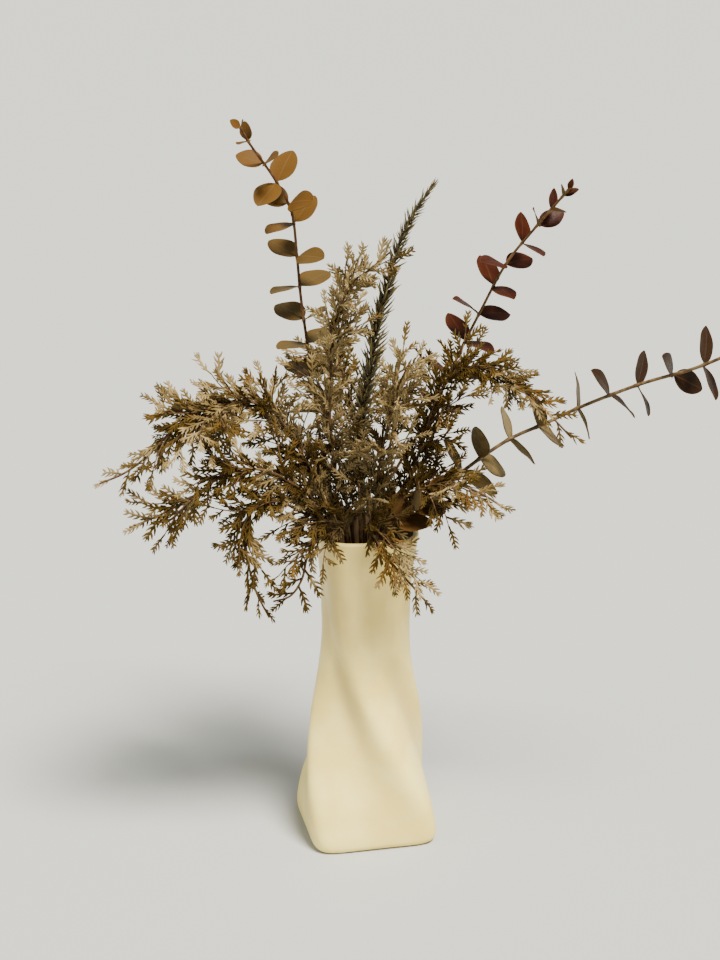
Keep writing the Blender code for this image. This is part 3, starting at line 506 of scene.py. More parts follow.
def draw(tree, low, high, seed, turn):
    """A random number from low to high for each point, a draw of its own for each turn."""
    inputs = {2: low, 3: high, "Seed": calc(tree, "ADD", seed, turn)}
    return node(tree, "FunctionNodeRandomValue", inputs).outputs[1]


def scaled(tree, vector, size):
    return node(tree, "ShaderNodeVectorMath", {0: vector, 3: size}, operation="SCALE").outputs[0]


def added(tree, first, second):
    return node(tree, "ShaderNodeVectorMath", {0: first, 1: second}, operation="ADD").outputs[0]


def leaning(tree, heading, outward, lean):
    """The direction that leans by an angle from heading to outward."""
    forward = scaled(tree, heading, calc(tree, "COSINE", lean))
    return added(tree, forward, scaled(tree, outward, calc(tree, "SINE", lean)))


def standing(tree, along, face):
    """The turn of a piece that grows along its own X and shows its own Z side to face."""
    grown = node(tree, "FunctionNodeAlignRotationToVector", {"Vector": along}, axis="X").outputs[0]
    inputs = {"Rotation": grown, "Vector": face}
    return node(tree, "FunctionNodeAlignRotationToVector", inputs, axis="Z", pivot_axis="X").outputs[0]


def curves_of(tree, given):
    return shaped(tree, "MeshToCurve", {0: given["Path"]})


def wooded(tree, path, sides, bark):
    """A round stem along a path, as thick as the path's stored radius."""
    ring = shaped(tree, "CurvePrimitiveCircle", {"Resolution": sides, "Radius": 1.0})
    inputs = {"Curve": path, "Profile Curve": ring, "Scale": named(tree, "thick"), "Fill Caps": True}
    stem = shaped(tree, "CurveToMesh", inputs)
    return shaped(tree, "SetMaterial", {"Geometry": stem, "Material": bark})


def planted(tree, points, given, turning, size):
    """Shapes from a collection, one drawn for each point, turned, sized, toned and made real."""
    seed = given["Seed"]
    shapes = shaped(tree, "CollectionInfo", {"Collection": given["Shapes"], 1: True, 2: True})
    inputs = {4: 0, 5: LAST_PICK, "Seed": seed}
    pick = node(tree, "FunctionNodeRandomValue", inputs, data_type="INT").outputs[2]
    inputs = {"Points": points, "Instance": shapes, "Pick Instance": True}
    inputs |= {"Instance Index": pick, "Rotation": turning, "Scale": size}
    copies = shaped(tree, "InstanceOnPoints", inputs)
    copies = store(tree, copies, "tone", draw(tree, 0.0, 1.0, seed, TONE_TURN), domain="INSTANCE")
    real = shaped(tree, "RealizeInstances", {0: copies})
    return shaped(tree, "SetMaterial", {"Geometry": real, "Material": given["Skin"]})


def close_tree(tree, *parts):
    """Joins the parts and hands them out, smooth."""
    join = node(tree, "GeometryNodeJoinGeometry")
    for part in parts:
        tree.links.new(part, join.inputs[0])
    smooth = shaped(tree, "SetShadeSmooth", {"Geometry": join.outputs[0]})
    node(tree, "NodeGroupOutput", {0: smooth})


def shape_set(name, meshes):
    """A collection of small meshes for a tree to pick from."""
    shapes = bpy.data.collections.new(name)
    for k, mesh in enumerate(meshes):
        shapes.objects.link(bpy.data.objects.new(f"{name}_{k}", mesh))
    return shapes


def plain_mesh(obj):
    """The evaluated mesh of an object, which is then removed."""
    bpy.context.scene.collection.objects.link(obj)
    graph = bpy.context.evaluated_depsgraph_get()
    graph.update()
    mesh = bpy.data.meshes.new_from_object(obj.evaluated_get(graph))
    bpy.data.objects.remove(obj)
    return mesh


def grown_mesh(path, tree, values):
    """The plain mesh that a tree grows on a path, its inputs set by their sockets' identifiers."""
    modifier = path.modifiers.new(tree.name, "NODES")
    modifier.node_group = tree
    for item in tree.interface.items_tree:
        if item.name in values:
            modifier[item.identifier] = values[item.name]
    return plain_mesh(path)


def grow(name, strands, tree, values, node_name):
    """Grows a piece on strands and lets it stand for its CAD node, in the one body that holds them all."""
    mesh = grown_mesh(path_object(name + "_path", strands), tree, values)
    mesh.name = name
    piece = new_object(name, mesh)
    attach(piece, "root")
    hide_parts(node_name)


def write_reach(mesh):
    """Stores how far each point lies from the root of a needle or twig that grows along X."""
    write_field(mesh, "reach", [vert.co.x for vert in mesh.vertices])


def needle_mesh(name, rng):
    """A stiff needle one unit long, thickest below its middle, bent a little towards the stem's tip."""
    bend = rng.uniform(*NEEDLE_BENDS)
    shape = tube(NEEDLE_SIDES, len(NEEDLE_STATIONS))
    for vert in shape.verts:
        along, half = NEEDLE_STATIONS[round(vert.co.z + (len(NEEDLE_STATIONS) - 1) / 2)]
        vert.co = (along, vert.co.x * half, vert.co.y * half * NEEDLE_FLATNESS + bend * along ** 2)
    bmesh.ops.recalc_face_normals(shape, faces=shape.faces)
    mesh = mesh_from(shape, name)
    write_reach(mesh)
    return mesh


def bark_material(name, colour, pale):
    """Dry stem: fine lengthwise fibres and small dull patches."""
    material, tree, shader, place = new_material(name, specular_ior_level=0.3)
    dull = spread(tree, grain(tree, place, BARK_GRAIN), *BARK_DULLNESS)
    tree.links.new(dull, shader.inputs["Roughness"])
    colour = mixed(tree, patches(tree, place, *BARK_PATCHES), colour, pale)
    finish_skin(tree, shader, colour, grain(tree, place, *FIBRE_GRAIN), *BARK_RELIEF)
    return material


def needle_material():
    """Dark olive needles, some tan, paler towards their tips."""
    material, tree, shader, place = new_material("foxtail_needle", specular_ior_level=0.35, roughness=0.55)
    colour = layered(
        tree, NEEDLE_DARK,
        (between(tree, stored(tree, "reach"), *OLIVE_REACH), NEEDLE_OLIVE),
        (times(tree, between(tree, stored(tree, "tone"), *TAN_TONES), TAN_SHARE), NEEDLE_TAN),
        (times(tree, grain(tree, place, NEEDLE_GRAIN), NEEDLE_MOTTLE), NEEDLE_DARK),
    )
    finish_skin(tree, shader, colour, grain(tree, place, NEEDLE_SKIN), *NEEDLE_RELIEF)
    return material


tree, given = new_tree("needle_spike", {
    "Bare share": "Float", "Needles": "Int", "Length": "Float", "Lean": "Float", "Seed": "Int",
    "Shapes": "Collection", "Bark": "Material", "Skin": "Material",
})
path = curves_of(tree, given)
clad = shaped(tree, "TrimCurve", {0: path, 2: given["Bare share"], 3: 1.0})
seats = node(tree, "GeometryNodeCurveToPoints", {"Curve": clad, "Count": given["Needles"]})
count = shaped(tree, "InputIndex")
rest = calc(tree, "SUBTRACT", 1.0, calc(tree, "DIVIDE", count, given["Needles"]))
stray = draw(tree, -NEEDLE_STRAY, NEEDLE_STRAY, given["Seed"], 1)
spiral = calc(tree, "ADD", times(tree, count, GOLDEN_ANGLE), stray)
inputs = {"Vector": seats.outputs["Normal"], "Axis": seats.outputs["Tangent"], "Angle": spiral}
outward = node(tree, "ShaderNodeVectorRotate", inputs).outputs[0]
# Needles close up towards the tip and are shorter there
open_share = calc(tree, "MINIMUM", calc(tree, "MULTIPLY_ADD", rest, *NEEDLE_OPENING), 1.0)
lean = times(tree, times(tree, given["Lean"], open_share), draw(tree, *NEEDLE_LEANS, given["Seed"], 2))
size = calc(tree, "MINIMUM", calc(tree, "MULTIPLY_ADD", rest, *NEEDLE_GROWTH), 1.0)
size = times(tree, times(tree, given["Length"], size), draw(tree, *NEEDLE_SIZES, given["Seed"], 3))
direction = leaning(tree, seats.outputs["Tangent"], outward, lean)
turning = standing(tree, direction, seats.outputs["Tangent"])
needles = planted(tree, seats.outputs[0], given, turning, size)
close_tree(tree, wooded(tree, path, SPIKE_SIDES, given["Bark"]), needles)

route = whole_route(SPIKE_MOUTH, SPIKE_ROUTE)
strands = [(route, tapered(SPIKE_RADIUS, SPIKE_TAPER, len(route)), (0, 0, 1), 0)]
rng = random.Random(SPIKE_SEED)
grow("foxtail_needles", strands, tree, {
    "Bare share": 1 - SPIKE_CLAD / length_of(route), "Needles": SPIKE_NEEDLES, "Length": NEEDLE_LENGTH,
    "Lean": NEEDLE_LEAN, "Seed": SPIKE_SEED,
    "Shapes": shape_set("needle_shape", [needle_mesh(f"needle_{k}", rng) for k in range(NEEDLE_SHAPES)]),
    "Bark": bark_material("spike_bark", SPIKE_BARK, NEEDLE_OLIVE), "Skin": needle_material(),
}, "foxtail_spike")


# Four stems of dried eucalyptus carry round leaves in pairs, each pair a quarter turn from the last.  The
# leaves sit close on the stem, are cupped, and shrink towards its tip.  Preserving turned them golden brown,
# oxblood and dark olive, glossier above and pale below.
LEAF_ARCH = 0.12
LEAF_LIFT = math.radians(76)
YOUNG_LIFT = 0.45
LEAF_GROWTH = 0.060
LEAF_GROWTH_POWER = 0.8
LEAF_BACK_GAIN = 0.02
LEAF_TURN_SPREAD = 0.2
LEAF_LIFT_SPREAD = 0.16
LEAF_SIZES = (0.92, 1.06)
LEAF_THICKNESS = 0.018
LEAF_STALK = 0.024
STALK_LENGTH = 0.06
LEAF_TIP = 0.02
LEAF_FULLNESS = 0.86
LEAF_WAVES = 11
# Least and most of a leaf's cup, fold, curl, sway, wave and the wave's phase
LEAF_FORMS = ((0.03, 0.12), (0.01, 0.05), (-0.07, 0.05), (-0.05, 0.05), (0.004, 0.012), (0, math.tau))
LEAF_LENGTHWISE = 20
LEAF_ACROSS = 12
LEAF_SHAPES = 4
SHAPE_SEED = 100
TURNS_FROM = (0, -1, 0.3)
STEM_TAPER = 0.68
STEM_SIDES = 10
NODE_SWELLING = 0.35
NODE_SPAN = 0.0016
COLOUR_TURN_SPAN = 0.16
LEAF_TONES = 0.35
# The last value is the noise's roughness
LEAF_PATCHES = (210, 4, 0.42, 0.66, 0.6)
LEAF_MOTTLE = 0.25
BENEATH_MOTTLE = 0.35
# Spans across the leaf, from 0 at the midrib to 1 at its edge
WARM_SPAN = (0.35, 1.0)
MIDRIB_SPAN = (0.10, 0.02)
RIM_SPAN = (0.86, 1.0)
VEIN_SPAN = (0.75, 1.0)
VEIN_SLANT = -0.30
VEIN_COUNT = 9
VEIN_SHARE = 0.30
DRY_RIM = 0.7
DULL_BENEATH = 0.25
DULL_GRAIN = 0.25
DULL_MIDDLE = 0.4
DULL_SCALE = 380
LEAF_SKIN = (800, 3)
LEAF_SKIN_SHARE = 0.6
VEIN_HEIGHT = 0.8
LEAF_RELIEF = (0.0003, 0.5)
# Pairs and set leaves are given by how far from the stem's tip they stand, and set leaves also by the
# way they grow, the way they face and their length
EUCALYPTUS = (
    dict(
        name="eucalyptus_upper_left", slot="leaf_golden", mouth=(-0.021, 0.006),
        radius=0.0013, seed=11, roll_seed=26,
        leaf=0.0235, tip_leaf=0.008, breadth=0.74, first_turn=48, bluntness=0.60,
        low=(0.062, 0.045, 0.015), high=(0.088, 0.038, 0.005), beneath=(0.13, 0.098, 0.04),
        edge=(0.095, 0.048, 0.009), warm=0.5, gloss=0.46, veined=0.15, turn_at=0.55, roll=math.radians(14),
        bark=(0.070, 0.025, 0.006), bark_pale=(0.13, 0.060, 0.018),
        route=(
            (-0.031, 0.012, 0.288), (-0.036, 0.016, 0.329), (-0.041, 0.018, 0.365), (-0.045, 0.018, 0.397),
            (-0.047, 0.014, 0.424), (-0.05, 0.003, 0.457), (-0.06, -0.014, 0.482), (-0.075, -0.036, 0.509),
            (-0.081, -0.046, 0.522),
        ),
        pairs=(0.001, 0.014, 0.038, 0.058, 0.080, 0.096, 0.122, 0.144, 0.168, 0.185, 0.209, 0.234, 0.262),
    ),
    dict(
        name="eucalyptus_upper_right", slot="leaf_oxblood", mouth=(0.004, 0.012),
        radius=0.0013, seed=12, roll_seed=26,
        leaf=0.0262, tip_leaf=0.008, breadth=0.64, first_turn=48, bluntness=0.72,
        low=(0.030, 0.0045, 0.0008), high=(0.023, 0.0022, 0.0004), beneath=(0.12, 0.078, 0.028),
        edge=(0.055, 0.013, 0.0012), warm=0.35, gloss=0.44, veined=0.12, turn_at=0.5, roll=math.radians(12),
        bark=(0.095, 0.042, 0.011), bark_pale=(0.18, 0.095, 0.032),
        route=(
            (0.022, 0.02, 0.27), (0.035, 0.025, 0.29), (0.051, 0.029, 0.318), (0.066, 0.031, 0.352),
            (0.079, 0.027, 0.381), (0.096, 0.018, 0.418), (0.114, 0.01, 0.444), (0.136, -0.002, 0.474),
        ),
        pairs=(0.001, 0.007, 0.020, 0.035, 0.052, 0.072, 0.090, 0.114, 0.136, 0.161, 0.188),
    ),
    dict(
        name="eucalyptus_right", slot="leaf_olive", mouth=(0.022, -0.001),
        radius=0.0016, seed=13, roll_seed=74,
        leaf=0.0260, tip_leaf=0.008, breadth=0.56, first_turn=52, bluntness=0.62,
        low=(0.155, 0.112, 0.043), high=(0.013, 0.0034, 0.0006), beneath=(0.12, 0.082, 0.031),
        edge=(0.026, 0.011, 0.002), warm=0.3, gloss=0.46, veined=0.16, turn_at=0.32, roll=math.radians(26),
        bark=(0.065, 0.034, 0.010), bark_pale=(0.15, 0.092, 0.036),
        route=(
            (0.042, 0.002, 0.249), (0.065, 0.008, 0.269), (0.099, 0.015, 0.292), (0.127, 0.016, 0.305),
            (0.152, 0.011, 0.319), (0.189, -0.004, 0.339), (0.225, -0.022, 0.356), (0.253, -0.039, 0.375),
            (0.278, -0.056, 0.396),
        ),
        pairs=(0.001, 0.011, 0.026, 0.046, 0.070, 0.094, 0.121, 0.142, 0.168, 0.199, 0.221, 0.246, 0.261),
    ),
    dict(
        name="eucalyptus_rim", slot="leaf_brown", mouth=(0.013, -0.020),
        radius=0.0012, seed=14, roll_seed=214,
        leaf=0.0290, tip_leaf=0.022, breadth=0.78, first_turn=48, bluntness=0.60,
        low=(0.060, 0.028, 0.007), high=(0.050, 0.020, 0.004), beneath=(0.13, 0.090, 0.040),
        edge=(0.095, 0.045, 0.010), warm=0.4, gloss=0.46, veined=0.15, turn_at=0.5, roll=math.radians(12),
        bark=(0.060, 0.026, 0.010), bark_pale=(0.14, 0.075, 0.030),
        route=((0.017, -0.025, 0.243), (0.027, -0.031, 0.256), (0.043, -0.036, 0.266)),
        pairs=(0.001, 0.014),
        set_leaves=(
            (0.041, (0.50, 0.10, 0.86), (0.0, -1.0, 0.1), 0.026),
            (0.033, (0.98, -0.10, -0.06), (0.0, -0.35, 1.0), 0.027),
        ),
    ),
)


def at(route, share):
    """The point and direction at a share, from 0 to 1, of a route's length."""
    place = min(max(share, 0.0), 1.0) * (len(route) - 1)
    index = min(int(place), len(route) - 2)
    point = route[index].lerp(route[index + 1], place - index)
    before = route[max(index - 1, 0)]
    after = route[min(index + 2, len(route) - 1)]
    return point, (after - before).normalized()


def across(direction, hint):
    """The unit vector nearest to hint that is square to direction."""
    side = hint - direction * hint.dot(direction)
    if side.length < 1e-6:
        side = direction.orthogonal()
    return side.normalized()


def turned_out(heading, turn, hint):
    """The direction square to heading, turned about it from the side of hint."""
    return Matrix.Rotation(turn, 3, heading) @ across(heading, Vector(hint))


def leaf_seats(stem, route):
    """Root, direction, facing, size and height on the stem of each leaf, the listed set leaves first."""
    rng = random.Random(stem["seed"])
    rolls = random.Random(stem["roll_seed"])
    total = length_of(route)
    seats = []
    for back, along, facing, size in stem.get("set_leaves", ()):
        seats.append((at(route, 1 - back / total)[0], Vector(along).normalized(), Vector(facing), size, 0.0))
    for k, back in enumerate(stem["pairs"]):
        point, heading = at(route, 1 - back / total)
        grown = min(1.0, back / LEAF_GROWTH)
        gain = (stem["leaf"] - stem["tip_leaf"]) * grown ** LEAF_GROWTH_POWER
        size = stem["tip_leaf"] + gain + LEAF_BACK_GAIN * back
        turn = math.radians(stem["first_turn"] + 90 * (k % 2))
        turn += rng.uniform(-LEAF_TURN_SPREAD, LEAF_TURN_SPREAD)
        lift = LEAF_LIFT * (YOUNG_LIFT + (1 - YOUNG_LIFT) * grown)
        for half_turn in (0, math.pi):
            lean = lift + rng.uniform(-LEAF_LIFT_SPREAD, LEAF_LIFT_SPREAD)
            outward = turned_out(heading, turn + half_turn, TURNS_FROM)
            along = (heading * math.cos(lean) + outward * math.sin(lean)).normalized()
            facing = Matrix.Rotation(rolls.uniform(-1, 1) * stem["roll"], 3, along) @ heading
            climb = 1 - back / max(stem["pairs"])
            seats.append((point, along, facing, size * rng.uniform(*LEAF_SIZES), climb))
    return seats


def leaf_half_width(along, bluntness):
    """Half the width of a leaf one unit long and one wide, on its short stalk."""
    if along < STALK_LENGTH:
        return 0.0
    share = (along - STALK_LENGTH) / (1 - STALK_LENGTH)
    return 0.5 * math.sin(math.pi * share ** LEAF_FULLNESS) ** bluntness


def leaf_mesh(name, breadth, bluntness, rng):
    """A cupped oval leaf one unit long with a sunk midrib and a slightly waved edge."""
    cup, fold, curl, sway, wave, phase = (rng.uniform(*bounds) for bounds in LEAF_FORMS)

    def middle(along, side):
        """Height of the blade's middle layer, side running from -1 to 1 across it."""
        spread = leaf_half_width(along, bluntness) * breadth * 2
        height = LEAF_ARCH * along * (1 - along) + curl * along ** 3
        height += (cup * side ** 2 + fold * abs(side)) * spread * 0.5
        return height + wave * abs(side) ** 3 * math.sin(along * LEAF_WAVES + phase + side)

    shape = bmesh.new()
    bmesh.ops.create_grid(shape, x_segments=LEAF_LENGTHWISE, y_segments=LEAF_ACROSS, size=0.5)
    marks = []
    for vert in shape.verts:
        along = 0.5 - 0.5 * math.cos(math.pi * (vert.co.x + 0.5))
        side = math.sin(math.pi * vert.co.y)
        least = LEAF_STALK * (1 if along < 0.5 else LEAF_TIP)
        half = max(leaf_half_width(along, bluntness) * breadth, least)
        vert.co = (along, half * side + sway * along ** 2, middle(along, side))
        marks += (along, side, 0.0)
    obj = bpy.data.objects.new(name, mesh_from(shape, name))
    write_field(obj.data, "blade", marks, "FLOAT_VECTOR")
    wall = obj.modifiers.new("thickness", "SOLIDIFY")
    wall.thickness = LEAF_THICKNESS
    wall.offset = 0
    mesh = plain_mesh(obj)
    for vert, mark in zip(mesh.vertices, mesh.attributes["blade"].data):
        along, side, _ = mark.vector
        mark.vector = (along, side, 1.0 if vert.co.z < middle(along, side) else 0.0)
    return mesh


def seat_object(name, seats):
    """Loose points that carry each leaf's direction, facing, size and height on the stem."""
    points, *fields = zip(*seats)
    mesh = bpy.data.meshes.new(name)
    mesh.from_pydata(points, [], [])
    for label, field in zip(("along", "facing"), fields):
        write_field(mesh, label, [value for vector in field for value in vector], "FLOAT_VECTOR")
    for label, field in zip(("size", "climb"), fields[2:]):
        write_field(mesh, label, field)
    return bpy.data.objects.new(name, mesh)


def leaf_material(stem):
    """A preserved leaf: glossy above and pale beneath, its midrib and side veins lighter, its edge dry."""
    material, tree, shader, place = new_material(stem["name"] + "_leaf", specular_ior_level=0.10)
    split = node(tree, "ShaderNodeSeparateXYZ", {0: stored(tree, "blade", "Vector")}).outputs
    side = calc(tree, "ABSOLUTE", split["Y"])
    bounds = (stem["turn_at"] - COLOUR_TURN_SPAN, stem["turn_at"] + COLOUR_TURN_SPAN)
    mottled = patches(tree, place, *LEAF_PATCHES)
    outer = between(tree, side, *WARM_SPAN)
    above = layered(
        tree, stem["low"],
        (between(tree, stored(tree, "climb"), *bounds), stem["high"]),
        (times(tree, stored(tree, "tone"), LEAF_TONES), stem["edge"]),
        (calc(tree, "MULTIPLY_ADD", outer, stem["warm"], times(tree, mottled, LEAF_MOTTLE)), stem["edge"]),
    )
    beneath = mixed(tree, times(tree, mottled, BENEATH_MOTTLE), stem["beneath"], stem["edge"])
    # Side veins leave the midrib forward, a ninth of the leaf apart
    slant = calc(tree, "MULTIPLY_ADD", side, VEIN_SLANT, split["X"])
    veins = between(tree, calc(tree, "SINE", times(tree, slant, math.tau * VEIN_COUNT)), *VEIN_SPAN)
    lines = calc(tree, "MAXIMUM", between(tree, side, *MIDRIB_SPAN), times(tree, veins, VEIN_SHARE))
    colour = layered(
        tree, above,
        (split["Z"], beneath),
        (times(tree, lines, stem["veined"]), stem["beneath"]),
        (times(tree, between(tree, side, *RIM_SPAN), DRY_RIM), stem["edge"]),
    )
    dull = calc(tree, "MULTIPLY_ADD", split["Z"], DULL_BENEATH, stem["gloss"])
    dull = calc(tree, "SUBTRACT", dull, DULL_GRAIN * DULL_MIDDLE)
    dull = calc(tree, "MULTIPLY_ADD", grain(tree, place, DULL_SCALE), DULL_GRAIN, dull)
    tree.links.new(dull, shader.inputs["Roughness"])
    raised = times(tree, lines, VEIN_HEIGHT)
    relief = calc(tree, "MULTIPLY_ADD", grain(tree, place, *LEAF_SKIN), LEAF_SKIN_SHARE, raised)
    finish_skin(tree, shader, colour, relief, *LEAF_RELIEF)
    return material


tree, given = new_tree("leafy_stem", {
    "Seats": "Object", "Shapes": "Collection", "Seed": "Int", "Bark": "Material", "Skin": "Material",
})
path = curves_of(tree, given)
seats = node(tree, "GeometryNodeObjectInfo", {"Object": given["Seats"]}).outputs["Geometry"]
turning = standing(tree, named(tree, "along", "FLOAT_VECTOR"), named(tree, "facing", "FLOAT_VECTOR"))
leaves = planted(tree, seats, given, turning, named(tree, "size"))
close_tree(tree, wooded(tree, path, STEM_SIDES, given["Bark"]), leaves)

for stem in EUCALYPTUS:
    name = stem["name"]
    route = whole_route(stem["mouth"], stem["route"])
    total = length_of(route)
    radii = tapered(stem["radius"], STEM_TAPER, len(route))
    for k in range(len(route)):
        back = total * (1 - k / (len(route) - 1))
        near = min(abs(back - place) for place in stem["pairs"])
        radii[k] *= 1 + NODE_SWELLING * math.exp(-(near / NODE_SPAN) ** 2)
    rng = random.Random(stem["seed"] + SHAPE_SEED)
    form = (stem["breadth"], stem["bluntness"])
    shapes = [leaf_mesh(f"{name}_blade_{k}", *form, rng) for k in range(LEAF_SHAPES)]
    grow(name + "_leafy", [(route, radii, (0, 0, 1), 0)], tree, {
        "Seats": seat_object(name + "_seats", leaf_seats(stem, route)), "Seed": stem["seed"],
        "Shapes": shape_set(name + "_shape", shapes),
        "Bark": bark_material(name + "_bark", stem["bark"], stem["bark_pale"]), "Skin": leaf_material(stem),
    }, name)


# Ten feathery sprays fill the arrangement.  Each is a thin woody axis with flat fronds, and each frond's rib
# carries short twigs left and right that fork again and again, like a cedar's.  They are dry, matte and
# taupe, dark brown at the twigs' roots and paler at their tips, with pale patches that are painted light on
# the lit tops of the masses and partly their own paler colour, and darker towards the arrangement's heart as
# painted shade.  The outer ones arch over and hang.
AXIS_RADIUS = 0.0019
AXIS_TAPER = 0.38
AXIS_SIDES = 6
RIB_RADIUS = 0.00072
RIB_TAPER = 0.5
RIB_SHARE = 0.84
FROND_LEAVE = math.radians(38)
# Per cent of the way up the axis
FROND_LOWEST = 40
FROND_REACH = 0.046
FROND_BOW = 0.42
FROND_POINTS = 16
FROND_FACING = (0.0, -0.75, 0.65)
FACING_SPREAD = (0.5, 0.4, 0.4)
LEAVE_ABOVE = 0.004
END_FROND = 0.055
LOWER_SEED = 50
LOWER_START = 0.006
LOWER_STEP = 0.034
LOWER_LEAN = math.radians(48)
LOWER_LEAN_SPREAD = 0.15
LOWER_REACHES = (0.75, 1.0)
INNER_SEED = 70
INNER_START = -0.008
INNER_TURN = 1.3
INNER_END = 0.030
TWIG_STEP = 0.0062
TWIG_LENGTH = 0.0222
TWIG_SIZES = (0.75, 1.1)
TWIG_LEAN = math.radians(42)
TWIG_LEANS = (0.75, 1.2)
TWIG_LIFTS = (-0.35, 0.40)
# Gain along the first of a frond and the share at its root, then what its tip loses
TWIG_GROWTH = (2.0, 0.55)
TWIG_FALL = -0.22
LAST_TWIG = 0.995
TWIG_SHAPES = 6
TWIG_SIDES = 4
TWIG_SEED = 61
TWIG_BEND = 0.06
TWIG_RISE = 0.04
TWIG_RISE_TURN = 5
TWIG_RIB_RADII = (0.037, 0.039, 0.039, 0.036, 0.012)
# Where pairs of prongs leave a twig one unit long, and their own lengths
PRONGS = ((0.22, 0.27), (0.41, 0.34), (0.60, 0.30), (0.78, 0.22))
PRONG_STAGGER = 0.035
PRONG_REACHES = (0.75, 1.15)
PRONG_LEAN = math.radians(37)
PRONG_LEANS = (0.8, 1.2)
PRONG_LIFT = 0.30
PRONG_CURL = 0.75
PRONG_RADII = (0.031, 0.038, 0.012)
FEATHER_BARK = (0.050, 0.022, 0.006)
FEATHER_BARK_PALE = (0.115, 0.062, 0.020)
FEATHER_DARK = (0.022, 0.011, 0.0015)
FEATHER_TAUPE = (0.074, 0.042, 0.005)
FEATHER_PALE = (0.38, 0.275, 0.12)
FEATHER_GOLD = (0.20, 0.095, 0.012)
TAUPE_REACH = (0.0, 0.55)
# Pale patches: painted light on the lit tops of the masses, partly the twigs' own paler colour
PALE_GRAIN = (24, 2)
PALE_FROM = 0.60
PALE_FULL = 0.74
PALE_GAIN = 0.25
PALE_SHARE = 0.72
GOLD_PATCHES = (31, 1, 0.60, 0.74)
GOLD_SHARE = 0.55
SHADED_TONES = (0.45, 0.0)
TONE_SHADE = 0.4
# Painted shade: twigs darken towards the heart of the arrangement
HEART = (0.0, 0.0, 0.27)
HEART_REACH = (0.105, 0.045)
HEART_SHADE = 0.5
FEATHER_SKIN = (1800, 2)
FEATHER_RELIEF = (0.0002, 0.6)
